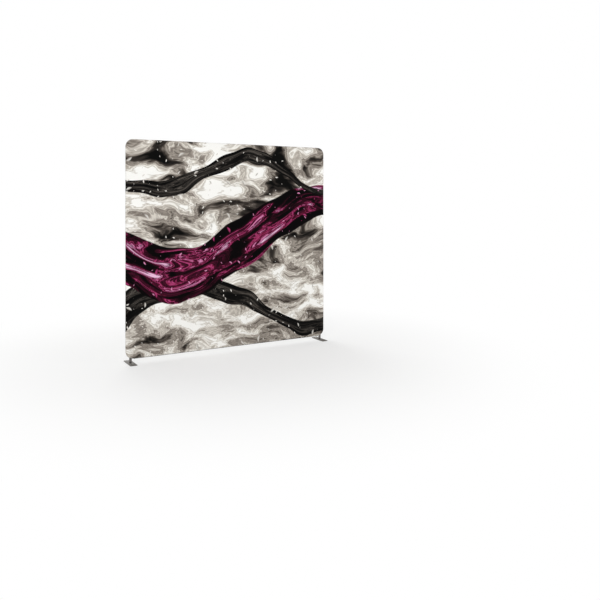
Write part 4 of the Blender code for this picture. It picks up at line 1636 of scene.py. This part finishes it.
@dataclass
class CollarBinding:
    """The overlocked edge of the opening round a foot's collar."""

    wall: Wall
    side: Side
    thick: float = 0.7 * MM
    sunk: float = 0.2 * MM
    puff: float = 0.15
    stitches: int = 24
    turns: int = 72
    sides: int = 8

    def build(self) -> None:
        """Builds and dresses the ring of thread along the opening's edge."""
        axis, radius = self.wall.post
        rings = []
        for i in range(self.turns):
            turn = math.tau * i / self.turns
            out = np.array([math.cos(turn), math.sin(turn), 0.0])
            x, y = self.side.value * axis + radius * out[0], radius * out[1]
            z = self.wall.underside(x, y, self.wall.wrap - self.sunk)
            thick = self.thick * (1 + self.puff * math.cos(self.stitches * turn))
            ring = [np.array([x, y, z]) + thick * (math.cos(t) * out + math.sin(t) * np.array([0, 0, 1.0]))
                    for t in (math.tau * k / self.sides for k in range(self.sides))]
            rings.append(np.array(ring[::-1]))
        made = mesh_piece(f"{self.side.label}_collar_binding", loft(rings, closed=True))
        dress(made, Thread(), FRAME_BODY, "plain_polyester")


@dataclass
class Foot:
    """One flat foot: plate, post, bolt and pads, and the collar that they swivel under."""

    wall: Wall
    side: Side
    corner: float = 6.0 * MM
    rim: float = 1.0 * MM
    pad_corner: float = 2.0 * MM
    pad_rim: float = 0.4 * MM
    post_rim: float = 0.8 * MM
    recess_gap: float = 0.4 * MM
    recess_depth: float = 3.6 * MM
    bolt_head: float = 3.0 * MM
    head_rim: float = 1.2 * MM
    head_ease: float = 0.35 * MM
    bolt_shank: float = 4.0 * MM
    shank_ease: float = 0.8 * MM
    bolt_hole: float = 4.4 * MM
    hex_radius: float = 2.8 * MM
    hex_depth: float = 1.8 * MM
    core: float = 7.2 * MM
    tube_seat: float = 16.3 * MM
    # Inset and lift of the rings round the collar's rim, then places from its outside in to its core
    rim_shares: tuple[tuple[float, float], ...] = ((1.0, 0.0), (0.3, 0.3), (0.0, 1.0))
    cope_shares: tuple[float, ...] = (0.0, 0.05, 0.25, 0.5, 0.75, 1.0)
    sides: int = 96
    bolt_sides: int = 64
    recess_sides: int = 48

    @property
    def body(self) -> str:
        """The CAD body that the foot rides on."""
        return f"{self.side.label}_foot"

    def node(self, part: str) -> str:
        """The name of one of the foot's CAD nodes."""
        return f"{self.side.label}_{part}"

    @cached_property
    def axis(self) -> np.ndarray:
        """The swivel's place on the floor."""
        low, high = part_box(self.node("foot_post"))
        return np.array([(low.x + high.x) / 2, (low.y + high.y) / 2, 0.0])

    def turned(self, profile: Iterable[tuple[float, float]], sides: int, closed: bool = False) -> Shell:
        """Turns a profile about the foot's axis.

        Args:
            profile: (radius, height), up the outside, and down the bore if it is closed.
            sides: the number of sides.
            closed: whether the profile is a closed one.

        Returns:
            Points and faces.
        """
        return loft([circle(radius, z, sides) + self.axis for radius, z in profile], closed=closed)

    def shown(self, part: str, shell: Shell) -> Piece:
        """Makes the piece that is shown for a part."""
        return mesh_piece(f"{self.side.label}_{part}_shown", shell)

    def slab(self, node: str, corner: float, rim: float) -> Shell:
        """Builds a flat shape with rounded corners and rims.

        Args:
            node: the CAD node it follows.
            corner: its corners' radius in plan.
            rim: the radius of its rims.

        Returns:
            Points and faces.
        """
        low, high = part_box(node)
        half_x, half_y, middle = (high.x - low.x) / 2, (high.y - low.y) / 2, (low + high) / 2
        return loft([rounded_plan(half_x, half_y, corner, inset, z) + (middle.x, middle.y, 0.0)
                     for inset, z in rounded_levels(low.z, high.z, rim)])

    def plate(self) -> None:
        """Builds the plate, with the bolt's hole and the recess that hides its head underneath."""
        node = self.node("foot_plate")
        low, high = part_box(node)
        head_low, head_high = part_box(self.node("foot_bolt"))
        radius = (head_high.x - head_low.x) / 2 + self.recess_gap
        top = low.z + self.recess_depth
        made = self.shown("plate", self.slab(node, self.corner, self.rim))
        carve(made, self.turned(((radius, low.z - self.rim), (radius, top), (self.bolt_hole, top),
                                 (self.bolt_hole, high.z + self.rim)), self.recess_sides))
        dress(made, PowderCoat(), self.body, "powder_coated_steel", node)

    def post(self) -> None:
        """Builds the post, a turned spacer with softened rims."""
        node = self.node("foot_post")
        low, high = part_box(node)
        radius = (high.x - low.x) / 2
        profile = [(radius - inset, z) for inset, z in rounded_levels(low.z, high.z, self.post_rim)]
        profile += [(self.bolt_hole, high.z), (self.bolt_hole, low.z)]
        made = self.shown("post", self.turned(profile, self.sides, closed=True))
        dress(made, DyedAluminium(), self.body, "anodised_aluminium", node)

    def bolt(self) -> None:
        """Builds the bolt, with a rounded socket head."""
        node = self.node("foot_bolt")
        low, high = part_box(node)
        head, shank, step = (high.x - low.x) / 2, self.bolt_shank, low.z + self.bolt_head
        profile = ((head - self.head_rim, low.z), (head - self.head_ease, low.z + self.head_ease),
                   (head, low.z + self.head_rim), (head, step), (shank, step),
                   (shank, high.z - self.shank_ease), (shank - self.shank_ease, high.z))
        made = self.shown("bolt", self.turned(profile, self.bolt_sides))
        levels = (low.z - self.rim, low.z + self.hex_depth)
        carve(made, self.turned([(self.hex_radius, z) for z in levels], 6))
        dress(made, ZincPlate(), self.body, "plated_steel", node)

    def collar(self) -> None:
        """Builds the collar, coped to the tube it is welded to, with its threaded core in one piece."""
        node = self.node("foot_socket")
        low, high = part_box(node)
        radius, rim = (high.x - low.x) / 2, self.post_rim
        rings = [circle(radius - inset * rim, low.z + lift * rim, self.sides) + self.axis
                 for inset, lift in self.rim_shares]
        for share in self.cope_shares:
            ring = circle(radius + (self.core - radius) * share, 0.0, self.sides) + self.axis
            for spot in ring:
                spot[2] = self.wall.underside(spot[0], spot[1], self.tube_seat)
            rings.append(ring)
        for reach, z in ((self.core, high.z), (self.bolt_hole, high.z), (self.bolt_hole, low.z)):
            rings.append(circle(reach, z, self.sides) + self.axis)
        made = self.shown("collar", loft(rings, closed=True))
        dress(made, DyedAluminium(), FRAME_BODY, "anodised_aluminium", node)

    def build(self) -> None:
        """Builds and dresses the foot."""
        self.plate()
        self.post()
        self.bolt()
        self.collar()
        for part in ("front_pad", "back_pad"):
            pad = self.shown(part, self.slab(self.node(part), self.pad_corner, self.pad_rim))
            dress(pad, CutRubber(), self.body, "black_rubber", self.node(part))


@dataclass
class TubeFrame:
    """The plug-together frame inside the cover, kept as built but for its springs, which are shown as
    smooth-shaded copies.
    """

    finishes: ClassVar[dict[str, Finish]] = {
        "tube": AnodisedAluminium(),
        "sleeve": AnodisedAluminium(),
        "tee": MouldedNylon(),
        "button": ZincPlate(),
    }
    still: float = 1.0 * MM
    edge: float = 0.12 * MM

    def spring(self, node: str, joint: dict) -> None:
        """Makes a smooth-shaded copy of the strip under one snap button, with rounded edges, in place of its
        CAD node.

        Args:
            node: the CAD node of the spring.
            joint: the button's joint.
        """
        mesh = frame["nodes"][node].data.copy()
        mesh.materials.clear()
        shade(mesh)
        made = linked(f"{node}_bent", mesh)
        mesh.materials.append(SpringSteel().material())
        soften(made, self.edge)
        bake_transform(made)
        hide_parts(node)
        log.info("%s: %s, bends between %s and %s", made.name, SpringSteel.label, joint["parent"],
                 joint["child"])

    def build(self) -> None:
        """Dresses every node of the frame by what it is, and makes the springs."""
        for node in sorted(frame["nodes"]):
            finish = self.finishes.get(node.rsplit("_", 1)[-1])
            if finish:
                for slot in frame["nodes"][node].material_slots:
                    slot.material = finish.material()
                log.info("%s: %s, as built", node, finish.label)
        for joint in frame["joints"]:
            for bent in joint.get("deforming_nodes", ()):
                self.spring(bent["node"], joint)


@dataclass
class Studio:
    """A plain pale floor, soft light, and a camera at the photograph's viewpoint."""

    # Places in the photograph are pixels of its 600 by 600 frame
    frame_pixels: float = 600.0
    focal_pixels: float = 645.3
    centre_pixels: tuple[float, float] = (285.75, 200.75)
    eye: tuple[float, float, float] = (-3.149, -6.688, 1.710)
    heading: float = 0.5223
    sensor: float = 36.0
    nearest: float = 0.01
    floor_half: float = 40.0
    ambient: float = 0.52
    # Each lamp's place, its size and its watts
    lamps: tuple[tuple[tuple[float, float, float], float, float], ...] = (
        ((-4.2, -6.5, 3.7), 4.0, 225.0),
        ((5.0, -5.0, 2.9), 3.5, 105.0),
        ((0.5, 5.8, 3.8), 4.0, 190.0),
    )
    lit: tuple[float, float, float] = (0.0, 0.0, 1.1)

    def camera(self) -> None:
        """Sets the camera, level and shifted, as upright lines in the photograph stay upright."""
        data = bpy.data.cameras.new("photograph")
        data.sensor_width = self.sensor
        data.lens = self.focal_pixels / self.frame_pixels * self.sensor
        data.shift_x = (self.frame_pixels / 2 - self.centre_pixels[0]) / self.frame_pixels
        data.shift_y = (self.centre_pixels[1] - self.frame_pixels / 2) / self.frame_pixels
        data.clip_start = self.nearest
        camera = linked("photograph", data)
        camera.location = self.eye
        camera.rotation_euler = (QUARTER, 0.0, -self.heading)
        bpy.context.scene.camera = camera

    def floor(self) -> None:
        """Lays the floor under the feet."""
        corners = ((-1, -1), (1, -1), (1, 1), (-1, 1))
        points = [(x * self.floor_half, y * self.floor_half, 0) for x, y in corners]
        floor = mesh_piece("studio_floor", (points, [[0, 1, 2, 3]]))
        floor.data.materials.append(StudioFloor().material())

    def light(self) -> None:
        """Hangs three large soft lamps in an even pale room."""
        for number, (place, size, watts) in enumerate(self.lamps):
            data = bpy.data.lights.new(f"softbox_{number}", "AREA")
            data.size, data.energy = size, watts
            lamp = linked(data.name, data)
            lamp.location = place
            lamp.rotation_euler = (Vector(self.lit) - lamp.location).to_track_quat("-Z", "Y").to_euler()
        world = bpy.data.worlds.new("pale_room")
        world.use_nodes = True
        tree = world.node_tree
        tree.nodes.clear()
        strength = add(tree, "MapRange", seen_rays(tree), 0.0, 1.0, self.ambient, 1.0)
        add(tree, "OutputWorld", add(tree, "Background", color=linear("#FFFFFF"), strength=strength))
        bpy.context.scene.world = world
        bpy.context.scene.view_settings.view_transform = "Standard"

    def build(self) -> None:
        """Sets the stage."""
        self.camera()
        self.floor()
        self.light()


def main() -> None:
    """Builds the backwall's looks, one sub-assembly after the other."""
    logging.basicConfig(level=logging.INFO, format="%(name)s: %(message)s")
    Studio().build()
    wall = Wall()
    sewn = Zip(wall).build()
    Panel(wall, Face.FRONT, PrintedKnit(), "printed_polyester").build(sewn[Face.FRONT])
    Panel(wall, Face.BACK, Knit(), "plain_polyester").build(sewn[Face.BACK])
    for side in Side:
        CollarBinding(wall, side).build()
        Foot(wall, side).build()
    TubeFrame().build()


if __name__ == "__main__":
    main()
